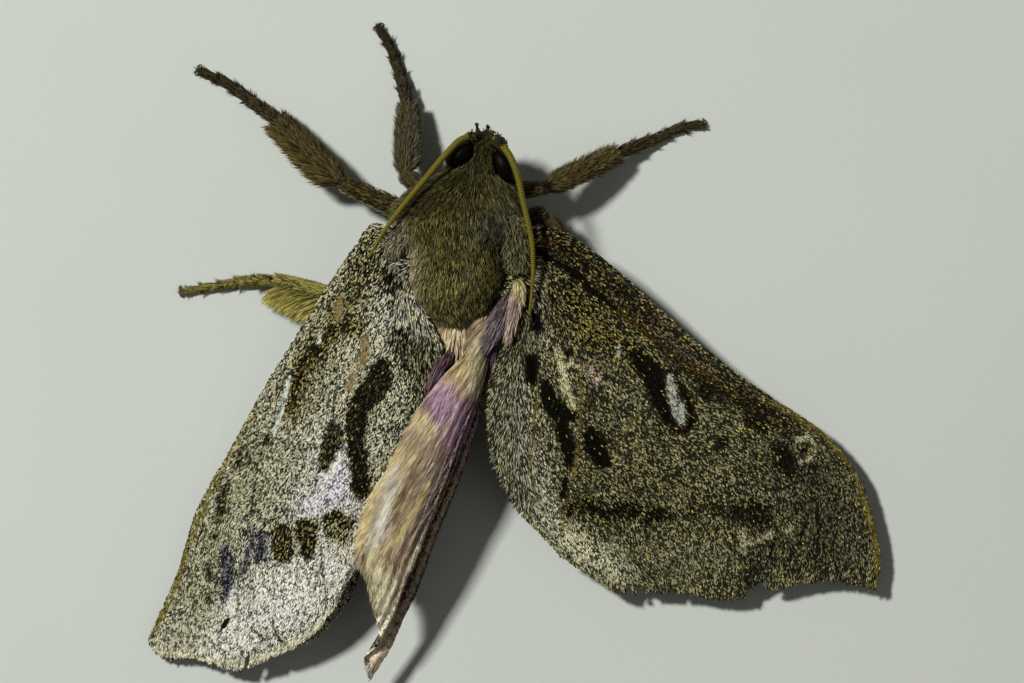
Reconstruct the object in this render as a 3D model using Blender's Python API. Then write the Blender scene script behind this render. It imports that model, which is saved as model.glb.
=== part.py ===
"""A large ghost moth, life size, standing on the floor with its forewings half spread.

Lengths are in millimetres until MM turns them into metres. +X is the image right, +Y the way the
head points and +Z up. Left and right are the animal's own, seen from above with the head upward.
"""

import math
import random

import bmesh
import bpy
import numpy as np
from mathutils import Vector

MM = 0.001

# Driving dimensions of the whole animal
JOINT_GAP = 0.3
COAT_GAP = 0.39
FOREWING_THICK = 0.5
HINDWING_THICK = 0.5
VEIN_RISE = 0.18
VEIN_HALF_WIDTH = 0.28
EYE_AXES = (1.6, 1.1, 1.5)
ANTENNA_RADII = (0.35, 0.3, 0.16)
PALP_RADII = (0.3, 0.26, 0.14)
KNEE_ROUND = 0.35
CLAW_LENGTH = 0.75
CLAW_RADIUS = 0.13

# Trunk and head stations: x, y, half width, underside, top
TRUNK = [
    (-5.95, 1.45, 0.7, 6.85, 8.0),
    (-5.8, 2.1, 1.45, 5.75, 8.9),
    (-5.67, 2.8, 2.25, 5.05, 9.5),
    (-5.5, 3.9, 3.35, 4.15, 10.3),
    (-5.35, 5.4, 4.1, 3.25, 11.1),
    (-5.2, 7.3, 4.25, 2.65, 11.6),
    (-5.2, 9.1, 4.45, 2.55, 11.6),
    (-5.15, 10.7, 5.45, 2.55, 11.3),
    (-5.15, 12.1, 5.85, 2.65, 10.9),
    (-5.05, 13.1, 5.65, 2.75, 10.4),
    (-4.6, 14.3, 4.85, 3.05, 9.9),
    (-4.1, 15.4, 3.85, 3.55, 9.5),
    (-3.8, 16.1, 2.95, 3.95, 9.2),
]
THORAX_FRONT = 12.2
HEAD = [
    (-3.6, 16.35, 2.4, 4.3, 9.5),
    (-3.35, 17.0, 2.55, 4.1, 9.5),
    (-3.15, 17.7, 2.35, 4.1, 9.3),
    (-2.9, 18.5, 1.8, 4.4, 8.9),
    (-2.7, 19.15, 1.15, 5.0, 8.3),
    (-2.58, 19.6, 0.55, 5.8, 7.7),
]
HEAD_ACROSS = (0.974, -0.225, 0.0)
# Abdomen stations: x, y, z of the middle, half width, half height
ABDOMEN = [
    (-5.5, 3.4, 6.7, 2.2, 2.1),
    (-5.6, 2.0, 6.7, 2.45, 2.35),
    (-5.75, 0.6, 6.4, 2.7, 2.6),
    (-5.9, -0.8, 6.0, 2.95, 2.8),
    (-6.5, -3.5, 5.2, 3.25, 3.1),
    (-7.4, -7.1, 4.5, 3.3, 3.15),
    (-8.4, -10.7, 3.9, 3.1, 3.0),
    (-9.4, -14.3, 3.2, 2.7, 2.65),
    (-10.2, -17.5, 2.4, 2.15, 2.4),
    (-10.7, -19.5, 1.8, 1.6, 1.95),
    (-11.05, -20.9, 1.3, 0.9, 1.35),
]
ABDOMEN_SEGMENTS = 8

# Hair locks: length, width and thickness on each part, and how far their roots are sunk
TRUNK_LOCK = (3.0, 1.5, 0.5)
HEAD_LOCK = (1.5, 0.9, 0.4)
LEG_LOCK = (1.9, 0.75, 0.4)
BRUSH_LOCK = (3.2, 0.95, 0.45)
ABDOMEN_LOCK = (2.6, 1.3, 0.45)
PROTHORAX_LOCK = (2.2, 1.4, 0.5)
LOCK_ROOT_DEPTH = 0.45
LOCK_LIFT = 0.45

# Eyes: middle, and the angle of the long axis from +X
EYES = {"left": ((-5.0, 17.5, 7.3), 38.7), "right": ((-1.2, 16.6, 7.3), 114.7)}
PALPS = {
    "left": [(-3.2, 18.9, 6.8), (-3.42, 19.7, 7.0), (-3.5, 20.3, 7.3)],
    "right": [(-2.6, 18.9, 6.8), (-2.55, 19.6, 7.0), (-2.5, 20.1, 7.3)],
}
ANTENNAE = {
    "left": [
        (-3.3, 18.3, 8.3), (-4.1, 18.9, 9.0), (-5.0, 18.6, 9.5), (-6.1, 17.8, 9.8),
        (-6.7, 17.1, 9.9), (-7.6, 15.8, 10.0), (-8.5, 14.8, 10.1), (-9.4, 13.7, 10.2),
        (-10.6, 12.3, 9.9), (-11.5, 11.0, 9.5), (-12.2, 9.7, 9.0), (-13.2, 8.0, 8.3),
    ],
    "right": [
        (-2.1, 18.1, 8.3), (-1.3, 18.4, 9.0), (-0.7, 17.7, 9.5), (-0.2, 16.8, 9.7),
        (0.2, 15.5, 9.8), (0.3, 14.4, 9.9), (0.7, 12.8, 10.0), (1.0, 11.6, 10.0),
        (1.2, 10.4, 9.9), (1.5, 8.3, 9.8), (1.5, 6.8, 9.7), (1.5, 5.3, 9.6), (1.2, 3.2, 9.3),
    ],
}

# Wing edges, each from the root outwards; the outer margin runs from the apex to the inner corner
FOREWING_RIGHT = {
    "costa": [
        (-0.2, 10.3, 7.7), (2.6, 11.2, 7.4), (5.1, 10.2, 6.8), (8.6, 7.6, 6.0), (12.2, 4.4, 5.3),
        (16.1, 0.9, 4.6), (19.9, -2.1, 4.0), (23.6, -4.6, 3.4), (27.5, -7.3, 2.8),
        (30.6, -11.0, 2.3), (32.1, -15.3, 2.0), (32.7, -18.8, 1.9), (32.4, -21.1, 1.9),
    ],
    "outer": [
        (32.4, -21.1, 1.9), (29.7, -20.4, 2.1), (26.6, -20.3, 2.2), (22.7, -21.2, 2.2),
        (19.2, -22.0, 2.2), (15.3, -21.5, 2.3), (12.1, -21.3, 2.4), (9.1, -21.4, 2.6),
        (6.7, -20.0, 2.9), (4.1, -18.2, 3.3),
    ],
    "inner": [
        (-1.6, 5.4, 8.9), (0.2, 2.8, 9.1), (-1.2, -0.1, 9.0), (-2.2, -3.3, 8.7),
        (-2.2, -7.1, 7.9), (-1.3, -11.1, 6.6), (1.0, -14.8, 4.9), (4.1, -18.2, 3.3),
    ],
}
FOREWING_LEFT = {
    "costa": [
        (-9.4, 10.2, 8.1), (-12.6, 11.4, 7.3), (-14.6, 9.1, 6.0), (-16.2, 6.8, 4.9),
        (-19.2, 2.2, 3.4), (-22.5, -3.1, 2.3), (-25.5, -8.5, 1.7), (-28.6, -14.1, 1.4),
        (-30.4, -19.8, 1.2), (-32.4, -24.4, 1.0), (-32.9, -25.6, 1.0),
    ],
    "outer": [
        (-32.9, -25.6, 1.0), (-31.8, -27.1, 1.2), (-28.7, -27.3, 1.7), (-25.1, -28.3, 2.3),
        (-22.1, -27.4, 2.9), (-18.5, -25.4, 3.9), (-15.7, -21.9, 5.3), (-14.2, -18.8, 6.6),
    ],
    "inner": [
        (-8.8, 5.3, 8.6), (-7.6, 2.4, 9.2), (-6.8, 0.5, 9.5), (-6.6, -1.9, 9.4),
        (-7.0, -5.3, 9.1), (-8.2, -8.9, 8.8), (-10.0, -12.5, 8.3), (-12.2, -16.1, 7.5),
        (-14.2, -18.8, 6.6),
    ],
}
HINDWING_RIGHT = {
    "costa": [
        (-1.2, 6.0, 7.3), (-1.3, 2.1, 7.5), (-2.2, 0.1, 7.5), (-2.4, -3.1, 7.3),
        (-3.4, -6.7, 7.0), (-4.6, -10.3, 6.5), (-5.8, -13.4, 6.0), (-7.2, -16.8, 5.4),
        (-8.8, -21.3, 4.8), (-10.1, -24.0, 4.4), (-11.3, -26.7, 4.0), (-13.0, -29.4, 3.9),
    ],
    "outer": [
        (-13.0, -29.4, 3.9), (-13.5, -27.5, 4.4), (-12.2, -26.0, 5.2), (-12.2, -24.7, 6.0),
        (-13.0, -21.1, 7.3), (-13.9, -17.3, 8.5),
    ],
    "inner": [
        (-2.6, 5.6, 7.5), (-2.8, 3.2, 8.4), (-3.5, 1.2, 9.6), (-4.9, -0.6, 10.5),
        (-6.2, -1.9, 10.7), (-7.7, -3.8, 10.6), (-8.8, -6.2, 10.4), (-10.4, -9.2, 10.2),
        (-12.2, -12.2, 9.8), (-13.9, -17.3, 8.5),
    ],
}
HINDWING_LEFT = {
    "costa": [
        (-8.8, 6.1, 6.6), (-12.7, 3.7, 5.4), (-16.7, -2.2, 3.4), (-21.2, -10.7, 2.0),
        (-24.8, -18.8, 1.4), (-25.9, -22.4, 1.3),
    ],
    "outer": [
        (-25.9, -22.4, 1.3), (-22.9, -25.3, 1.7), (-19.4, -26.2, 2.3), (-17.5, -25.3, 2.8),
        (-14.9, -22.2, 3.9), (-13.9, -18.8, 4.7),
    ],
    "inner": [
        (-9.0, 3.5, 6.4), (-10.8, -0.8, 6.3), (-11.9, -5.3, 5.9), (-12.5, -9.8, 5.5),
        (-13.1, -14.3, 5.2), (-13.9, -18.8, 4.7),
    ],
}
# Veins: where each reaches the outer margin (0 costa, 1 inner edge), and where along it rises
FOREWING_VEINS = [(0.05, 0.0), (0.17, 0.0), (0.29, 0.3), (0.41, 0.4), (0.53, 0.05), (0.65, 0.4),
                  (0.77, 0.0), (0.89, 0.0)]
HINDWING_VEINS = [(0.12, 0.0), (0.35, 0.2), (0.58, 0.0), (0.82, 0.2)]

# Legs: hip, knee, ankle, points along the foot, then the half widths of thigh, shin and foot
LEGS = {
    "front_left": (
        (-6.6, 13.6, 5.1), (-10.1, 15.7, 4.4), (-9.7, 22.7, 1.8),
        [(-10.1, 23.7, 1.1), (-10.6, 25.3, 0.5), (-11.2, 27.1, 0.42), (-11.9, 28.3, 0.4),
         (-12.3, 29.0, 0.38)],
        0.8, 0.8, 0.52,
    ),
    "middle_left": (
        (-8.2, 11.6, 4.9), (-15.5, 15.0, 4.2), (-21.5, 20.9, 1.8),
        [(-23.5, 22.2, 1.0), (-25.1, 23.5, 0.5), (-26.6, 24.4, 0.42), (-27.8, 24.9, 0.4),
         (-28.4, 25.2, 0.38)],
        0.9, 0.92, 0.55,
    ),
    "hind_left": (
        (-7.6, 6.0, 3.9), (-15.6, 4.8, 2.8), (-21.8, 6.4, 1.3),
        [(-24.4, 6.3, 0.7), (-26.5, 5.9, 0.45), (-28.0, 5.7, 0.42), (-29.2, 5.5, 0.4),
         (-29.9, 5.4, 0.38)],
        0.85, 0.68, 0.45,
    ),
    "front_right": (
        (-2.4, 14.2, 5.1), (2.6, 14.6, 4.7), (9.2, 17.8, 1.8),
        [(11.2, 18.6, 1.0), (13.0, 19.3, 0.5), (14.5, 20.0, 0.42), (15.7, 20.3, 0.4),
         (16.6, 20.4, 0.38)],
        0.7, 0.85, 0.5,
    ),
    "middle_right": (
        (-2.0, 10.5, 4.7), (2.4, 12.4, 4.1), (6.8, 5.3, 1.8),
        [(8.1, 3.7, 0.9), (9.2, 2.3, 0.45), (10.4, 0.8, 0.42), (11.2, -0.1, 0.4),
         (11.6, -0.7, 0.38)],
        0.8, 0.78, 0.5,
    ),
    "hind_right": (
        (-2.8, 6.0, 3.9), (2.6, 1.9, 3.3), (6.7, -4.2, 1.6),
        [(7.6, -6.0, 0.85), (8.3, -7.6, 0.45), (9.0, -9.1, 0.42), (9.6, -10.4, 0.4),
         (9.8, -11.0, 0.38)],
        0.8, 0.68, 0.45,
    ),
}

# Rows of hair locks: y, widest angle from the top, how many, and stagger
THORAX_ROWS = [(9.7, 95, 7, 0), (7.8, 95, 6, 1), (6.0, 88, 6, 0), (4.3, 72, 5, 1)]
PROTHORAX_ROWS = [(15.3, 62, 5, 1), (13.5, 88, 7, 0)]
PROTHORAX_REACH = 10.75
HEAD_ROWS = [(18.7, 38, 3, 0), (17.3, 36, 3, 1)]
SHIN_TUFTS = (0.2, 0.45, 0.7, 0.92)
# Abdomen tufts: how far along, and the angles from the top
ABDOMEN_TUFTS = [(0.12, (-70, -25, 25, 70)), (0.5, (-80, 80)), (0.7, (-80, 80)),
                 (0.9, (-85, -45, 0, 45, 85))]
# Shins with a brush: which side it hangs on, and where along the shin its locks grow
BRUSHES = {"hind_left": (-1, (0.25, 0.4, 0.55, 0.7, 0.85, 0.95)),
           "hind_right": (1, (0.25, 0.4, 0.55, 0.7, 0.85, 0.95))}
DRAW = random.Random(4)

for thing in list(bpy.data.objects):
    bpy.data.objects.remove(thing, do_unlink=True)


def material(name, colour, roughness):
    made = bpy.data.materials.new(name)
    made.use_nodes = True
    shader = made.node_tree.nodes["Principled BSDF"]
    shader.inputs["Base Color"].default_value = (*colour, 1.0)
    shader.inputs["Roughness"].default_value = roughness
    return made


HAIR = material("hair_olive_brown", (0.08, 0.065, 0.03), 0.9)
SCALES = material("wing_scales_brown", (0.17, 0.15, 0.10), 0.85)
ROSE = material("wing_hair_rose", (0.42, 0.27, 0.24), 0.8)
CUTICLE = material("cuticle_olive", (0.16, 0.14, 0.06), 0.6)
EYE = material("eye_black", (0.015, 0.012, 0.01), 0.2)


def solid(name, points, faces, look):
    """A closed mesh object from millimetre points, turned so that its faces look outward."""
    points = np.asarray(points, float)
    corners = points[np.array(faces)]
    if np.linalg.det(corners).sum() < 0:
        faces = [face[::-1] for face in faces]
    mesh = bpy.data.meshes.new(name)
    mesh.from_pydata((points * MM).tolist(), [], faces)
    mesh.materials.append(look)
    made = bpy.data.objects.new(name, mesh)
    bpy.context.collection.objects.link(made)
    return made


def curve(points):
    """A function of 0..1 that follows these points smoothly, at an even pace along the length."""
    p = np.asarray(points, float)
    p = np.vstack([2 * p[0] - p[1], p, 2 * p[-1] - p[-2]])
    dense = [p[1]]
    for i in range(1, len(p) - 2):
        for t in np.linspace(0.05, 1, 20):
            dense.append(0.5 * (
                2 * p[i] + (p[i + 1] - p[i - 1]) * t
                + (2 * p[i - 1] - 5 * p[i] + 4 * p[i + 1] - p[i + 2]) * t ** 2
                + (3 * p[i] - p[i - 1] - 3 * p[i + 1] + p[i + 2]) * t ** 3))
    dense = np.array(dense)
    length = np.concatenate([[0], np.cumsum(np.linalg.norm(np.diff(dense[:, :3], axis=0), axis=1))])
    length /= length[-1]
    return lambda t: np.stack([np.interp(t, length, dense[:, k]) for k in range(p.shape[1])], -1)


def tube(name, stations, sides, look, across=None):
    """A closed tube through stations of x, y, z, half width, half height, with its underside never
    below the floor. Where across is given, every section is upright and as wide as that line."""
    rows = np.array(stations, float)
    tangents = np.gradient(rows[:, :3], axis=0)
    tangents /= np.linalg.norm(tangents, axis=1)[:, None]
    points, faces = [], []
    for (x, y, z, wide, high), tangent in zip(rows, tangents):
        side = np.cross(tangent, (0, 0, 1)) if across is None else np.array(across)
        side /= np.linalg.norm(side)
        up = np.cross(side, tangent) if across is None else np.array((0, 0, 1.0))
        for k in range(sides):
            angle = 2 * math.pi * (k + 0.5) / sides
            point = (x, y, z) + side * wide * math.cos(angle) + up * high * math.sin(angle)
            point[2] = max(point[2], 0.0)
            points.append(point)
    for i in range(len(rows) - 1):
        for k in range(sides):
            a, b = i * sides + k, i * sides + (k + 1) % sides
            faces += [(a, b, b + sides), (a, b + sides, a + sides)]
    for ring, flip in ((0, True), ((len(rows) - 1) * sides, False)):
        for k in range(1, sides - 1):
            face = (ring, ring + k, ring + k + 1)
            faces.append(face[::-1] if flip else face)
    return solid(name, points, faces, look)


def smooth_tube(name, stations, count, sides, look):
    return tube(name, curve(stations)(np.linspace(0, 1, count)), sides, look)


def ball(name, centre, axes, angle, rings, sides, look):
    """An ellipsoid, its long axis at this angle from +X."""
    a, b, c = axes
    points, faces = [(0, 0, -c)], []
    for i in range(1, rings):
        tilt = math.pi * i / rings - math.pi / 2
        for k in range(sides):
            turn = 2 * math.pi * k / sides
            points.append((a * math.cos(tilt) * math.cos(turn), b * math.cos(tilt) * math.sin(turn),
                           c * math.sin(tilt)))
    points.append((0, 0, c))
    for k in range(sides):
        m = (k + 1) % sides
        faces.append((0, 1 + m, 1 + k))
        for i in range(rings - 2):
            low = 1 + i * sides
            faces += [(low + k, low + m, low + sides + m), (low + k, low + sides + m, low + sides + k)]
        last = 1 + (rings - 2) * sides
        faces.append((last + k, last + m, len(points) - 1))
    turn = math.radians(angle)
    points = [(centre[0] + x * math.cos(turn) - y * math.sin(turn),
               centre[1] + x * math.sin(turn) + y * math.cos(turn), centre[2] + z)
              for x, y, z in points]
    return solid(name, points, faces, look)


def largest_piece(target):
    """Keeps the biggest of the separate surfaces of this mesh."""
    shape = bmesh.new()
    shape.from_mesh(target.data)
    left, islands = set(shape.verts), []
    while left:
        front, island = [left.pop()], []
        while front:
            vert = front.pop()
            island.append(vert)
            for edge in vert.link_edges:
                other = edge.other_vert(vert)
                if other in left:
                    left.remove(other)
                    front.append(other)
        islands.append(island)
    spread = [np.ptp([vert.co[:] for vert in island], axis=0).prod() for island in islands]
    keep = spread.index(max(spread))
    for k, island in enumerate(islands):
        if k != keep:
            bmesh.ops.delete(shape, geom=island, context="VERTS")
    bmesh.ops.triangulate(shape, faces=shape.faces)
    shape.to_mesh(target.data)
    shape.free()


def combine(target, tool, operation):
    """Cuts the tool from the target, or joins the two, and removes the tool."""
    step = target.modifiers.new("step", "BOOLEAN")
    step.operation = operation
    step.solver = "MANIFOLD"
    step.object = tool
    bpy.context.view_layer.objects.active = target
    bpy.ops.object.modifier_apply(modifier=step.name)
    bpy.data.objects.remove(tool, do_unlink=True)


def trim(target, *neighbours, gap=JOINT_GAP):
    """Cuts the target back until it stands this gap off the surface of each neighbour."""
    for neighbour in neighbours:
        tool = neighbour.copy()
        tool.data = neighbour.data.copy()
        bpy.context.collection.objects.link(tool)
        shape = bmesh.new()
        shape.from_mesh(tool.data)
        bmesh.ops.recalc_face_normals(shape, faces=shape.faces)
        shape.normal_update()
        moves = [vert.normal * min(vert.calc_shell_factor(), 1.6) * gap * MM for vert in shape.verts]
        for vert, move in zip(shape.verts, moves):
            vert.co += move
        shape.to_mesh(tool.data)
        shape.free()
        combine(target, tool, "DIFFERENCE")


def trimmed(target, *neighbours):
    """Trims the target and drops whatever the cuts leave loose."""
    trim(target, *neighbours)
    largest_piece(target)


def trunk_rows(stations):
    return [(x, y, (low + top) / 2, wide, (top - low) / 2) for x, y, wide, low, top in stations]


def trunk_between(name, y0, y1):
    """The trunk from y0 to y1, its sections upright."""
    rows = np.array(trunk_rows(TRUNK))
    levels = [y0] + [y for y in rows[:, 1] if y0 + 0.15 < y < y1 - 0.15] + [y1]
    cut = [[np.interp(y, rows[:, 1], rows[:, k]) for k in range(5)] for y in levels]
    return tube(name, cut, 20, HAIR, across=(1.0, 0, 0))


def wing_surface(edges, s, c, camber, pleats):
    """The point of the wing at s from root to outer margin and c from costa to inner edge."""
    costa, outer, inner = (curve(edges[key]) for key in ("costa", "outer", "inner"))
    first, last = np.array(edges["costa"][0], float), np.array(edges["inner"][0], float)
    apex, corner = np.array(edges["outer"][0], float), np.array(edges["outer"][-1], float)
    s, c = s[..., None], c[..., None]
    point = ((1 - c) * costa(s[..., 0]) + c * inner(s[..., 0])
             + (1 - s) * (first * (1 - c) + last * c) + s * outer(c[..., 0])
             - (1 - s) * ((1 - c) * first + c * last) - s * ((1 - c) * apex + c * corner))
    arch = np.sin(math.pi * np.clip(s[..., 0], 0, 1)) ** 0.8 * np.sin(math.pi * c[..., 0])
    fold = pleats[0] * np.sin(2 * math.pi * pleats[1] * c[..., 0]) * np.sin(math.pi * c[..., 0]) ** 0.5
    point[..., 2] += camber * arch + fold * np.clip(4 * s[..., 0], 0, 1)
    return point


def wing(name, edges, veins, camber, thick, rows, look, pleats=(0.0, 0)):
    """A wing membrane of even thickness whose veins stand up as ridges of its upper face."""
    s_rows = np.linspace(0, 1, rows)
    bounds = [0.0] + [c for c, _ in veins] + [1.0]
    grid_c, ridge = [], []
    for s in s_rows:
        ends = wing_surface(edges, np.array([s, s]), np.array([0.0, 1.0]), 0, (0, 0))
        across = np.linalg.norm(ends[1] - ends[0])
        line, rise = [0.0], [0.0]
        for k, (c, start) in enumerate(veins):
            foot = min(VEIN_HALF_WIDTH / across, 0.28 * min(np.diff(bounds)[k:k + 2]))
            line += [c - foot, c, c + foot, (c + bounds[k + 2]) / 2]
            rise += [0.0, VEIN_RISE * min(max((s - start) / 0.1, 0), 1), 0.0, 0.0]
        line[-1] = 1.0
        grid_c.append(line)
        ridge.append(rise)
    c = np.array(grid_c)
    s = np.repeat(s_rows[:, None], c.shape[1], axis=1)
    point = wing_surface(edges, s, c, camber, pleats)
    step = 1e-3
    along = (wing_surface(edges, np.minimum(s + step, 1), c, camber, pleats)
             - wing_surface(edges, np.maximum(s - step, 0), c, camber, pleats))
    over = (wing_surface(edges, s, np.minimum(c + step, 1), camber, pleats)
            - wing_surface(edges, s, np.maximum(c - step, 0), camber, pleats))
    normal = np.cross(along, over)
    normal /= np.linalg.norm(normal, axis=-1)[..., None]
    normal *= np.sign(normal[..., 2:3].mean())
    top = point + normal * np.array(ridge)[..., None]
    return sheet(name, top, point - normal * thick, look)


def sheet(name, top, under, look):
    """A closed plate from two grids of points, its triangles alike on both faces."""
    rows, cols = top.shape[:2]
    points = np.vstack([top.reshape(-1, 3), under.reshape(-1, 3)])
    faces, below = [], rows * cols
    for i in range(rows - 1):
        for j in range(cols - 1):
            a, b, c, d = i * cols + j, i * cols + j + 1, (i + 1) * cols + j + 1, (i + 1) * cols + j
            for face in ((a, b, c), (a, c, d)):
                faces += [face, tuple(k + below for k in face[::-1])]
    rim = ([j for j in range(cols)] + [i * cols + cols - 1 for i in range(1, rows)]
           + [(rows - 1) * cols + j for j in range(cols - 2, -1, -1)]
           + [i * cols for i in range(rows - 2, 0, -1)])
    for a, b in zip(rim, rim[1:] + rim[:1]):
        faces += [(b, a, a + below), (b, a + below, b + below)]
    return solid(name, points, faces, look)


def leg_stations(points, shares, widths, flat):
    """Stations along a leg part: where along it, with its half width there."""
    path = curve(points)
    return [(*path(share), width, width * flat) for share, width in zip(shares, widths)]


def lock(group, root, tip, lift, width, thick, facing):
    """A flat closed blade that tapers to its tip and bends away from the surface on its way."""
    root, tip, facing = (np.array(v, float) for v in (root, tip, facing))
    facing = facing / np.linalg.norm(facing)
    middle = (root + tip) / 2 + facing * lift
    points = []
    for t, share in ((0.0, 0.65), (0.38, 1.0), (0.72, 0.72)):
        centre = (1 - t) ** 2 * root + 2 * t * (1 - t) * middle + t ** 2 * tip
        along = 2 * (1 - t) * (middle - root) + 2 * t * (tip - middle)
        side = np.cross(along, facing)
        side *= width / 2 * share / np.linalg.norm(side)
        up = np.cross(side, along)
        up *= thick / 2 * share / np.linalg.norm(up)
        points += [centre + side, centre + up, centre - side, centre - up]
    points.append(tip)
    for point in points:
        point[2] = max(point[2], 0.08)
    faces = [(0, 2, 1), (0, 3, 2)]
    for ring in (0, 4):
        for k in range(4):
            a, b = ring + k, ring + (k + 1) % 4
            faces += [(a, b, b + 4), (a, b + 4, a + 4)]
    faces += [(8 + k, 8 + (k + 1) % 4, 12) for k in range(4)]
    made = solid("lock", points, faces, HAIR)
    bpy.context.collection.objects.unlink(made)
    group.objects.link(made)


def lock_group():
    group = bpy.data.collections.new("locks")
    bpy.context.scene.collection.children.link(group)
    return group


def fuse(target, group, neighbours):
    """Unites the locks of the group, cuts them clear of the neighbours and joins them to the target."""
    coat, *others = list(group.objects)
    group.objects.unlink(coat)
    bpy.context.collection.objects.link(coat)
    step = coat.modifiers.new("locks", "BOOLEAN")
    step.operation = "UNION"
    step.solver = "MANIFOLD"
    step.operand_type = "COLLECTION"
    step.collection = group
    bpy.context.view_layer.objects.active = coat
    bpy.ops.object.modifier_apply(modifier=step.name)
    for made in others:
        bpy.data.objects.remove(made, do_unlink=True)
    bpy.data.collections.remove(group)
    trim(coat, *neighbours, gap=COAT_GAP)
    combine(target, coat, "UNION")
    largest_piece(target)


def around(stations, y, angle, out):
    """A point on the trunk or head at y, at this angle from the top, moved out from its surface.
    Also the way the surface faces there."""
    rows = np.array(trunk_rows(stations))
    x, z, wide, high = (np.interp(y, rows[:, 1], rows[:, k]) for k in (0, 2, 3, 4))
    turn = math.radians(angle)
    facing = np.array((math.sin(turn) / wide, 0.0, math.cos(turn) / high))
    facing /= np.linalg.norm(facing)
    return np.array((x + wide * math.sin(turn), y, z + high * math.cos(turn))) + facing * out, facing


def trunk_locks(target, stations, rows, size, y_end, neighbours, raised=0.0):
    """Rows of locks across the back, each row y, widest angle, count and stagger, lying to the rear."""
    group = lock_group()
    length, width, thick = size
    for y, spread, count, stagger in rows:
        for k in range(count):
            angle = (2 * (k + 0.5 + 0.25 * stagger) / count - 1) * spread
            wave = 1 + DRAW.uniform(-0.12, 0.12)
            root, facing = around(stations, y, angle, -LOCK_ROOT_DEPTH)
            y_tip = max(y - length * wave, y_end + DRAW.uniform(0, 0.3))
            tip, _ = around(stations, y_tip, angle * DRAW.uniform(0.94, 1.06), LOCK_LIFT + raised)
            lock(group, root, tip, LOCK_LIFT + raised + 0.3, width * wave, thick, facing)
    fuse(target, group, neighbours)


# Trunk and head, first without their hair, as what grows from them is cut to these surfaces
thorax = trunk_between("thorax", TRUNK[0][1], THORAX_FRONT)
prothorax = trunk_between("prothorax", THORAX_FRONT + JOINT_GAP, TRUNK[-1][1])
head = tube("head", trunk_rows(HEAD), 16, HAIR, across=HEAD_ACROSS)

# Eyes
eyes = []
for side, (middle, angle) in EYES.items():
    eyes.append(ball("eye_" + side, middle, EYE_AXES, angle, 8, 14, EYE))
    trimmed(eyes[-1], prothorax)

# Feelers and palps start at the head's surface
feelers, palps = [], []
for side, points in ANTENNAE.items():
    radii = np.interp(np.linspace(0, 1, len(points)), (0, 0.3, 1), ANTENNA_RADII)
    feelers.append(smooth_tube("antenna_" + side, [(*p, r, r) for p, r in zip(points, radii)], 26, 6,
                               CUTICLE))
    trimmed(feelers[-1], head)
for side, points in PALPS.items():
    palps.append(smooth_tube("palp_" + side, [(*p, r, r) for p, r in zip(points, PALP_RADII)], 5, 8,
                             HAIR))
    trimmed(palps[-1], head)

# Wings
wings = []
for name, edges, veins, camber, thick, rows, look, pleats in (
    ("forewing_right", FOREWING_RIGHT, FOREWING_VEINS, 0.9, FOREWING_THICK, 12, SCALES, (0.0, 0)),
    ("forewing_left", FOREWING_LEFT, FOREWING_VEINS, 1.3, FOREWING_THICK, 12, SCALES, (0.0, 0)),
    ("hindwing_right", HINDWING_RIGHT, HINDWING_VEINS, 0.9, HINDWING_THICK, 14, ROSE, (0.12, 4)),
    ("hindwing_left", HINDWING_LEFT, HINDWING_VEINS, 0.3, HINDWING_THICK, 10, ROSE, (0.0, 0)),
):
    wings.append(wing(name, edges, veins, camber, thick, rows, look, pleats))
    trimmed(wings[-1], thorax, prothorax)

# Abdomen: the segments swell a little between their joints, and tufts grow at its base and end
belly = curve(ABDOMEN)
stations = []
for k in range(ABDOMEN_SEGMENTS * 2 + 1):
    row = belly(k / (ABDOMEN_SEGMENTS * 2))
    row[3:] *= 1.0 if k % 2 else 0.94
    stations.append(row)
abdomen = tube("abdomen", stations, 16, ROSE)
group = lock_group()
length, width, thick = ABDOMEN_LOCK
for share, angles in ABDOMEN_TUFTS:
    x, y, z, wide, high = belly(share)
    run = belly(min(share + 0.05, 1))[:3] - belly(share - 0.05)[:3]
    run /= np.linalg.norm(run)
    side = np.cross(run, (0, 0, 1))
    side /= np.linalg.norm(side)
    for angle in angles:
        turn = math.radians(angle)
        facing = side * math.sin(turn) * high / wide + np.array((0, 0, math.cos(turn)))
        surface = (x, y, z + high * math.cos(turn)) + side * wide * math.sin(turn)
        root = surface - facing * LOCK_ROOT_DEPTH
        tip = surface + run * length * DRAW.uniform(0.85, 1.1) + facing * 0.1
        lock(group, root, tip, 0.25, width, thick, facing)
fuse(abdomen, group, wings)
trimmed(abdomen, thorax)

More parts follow.
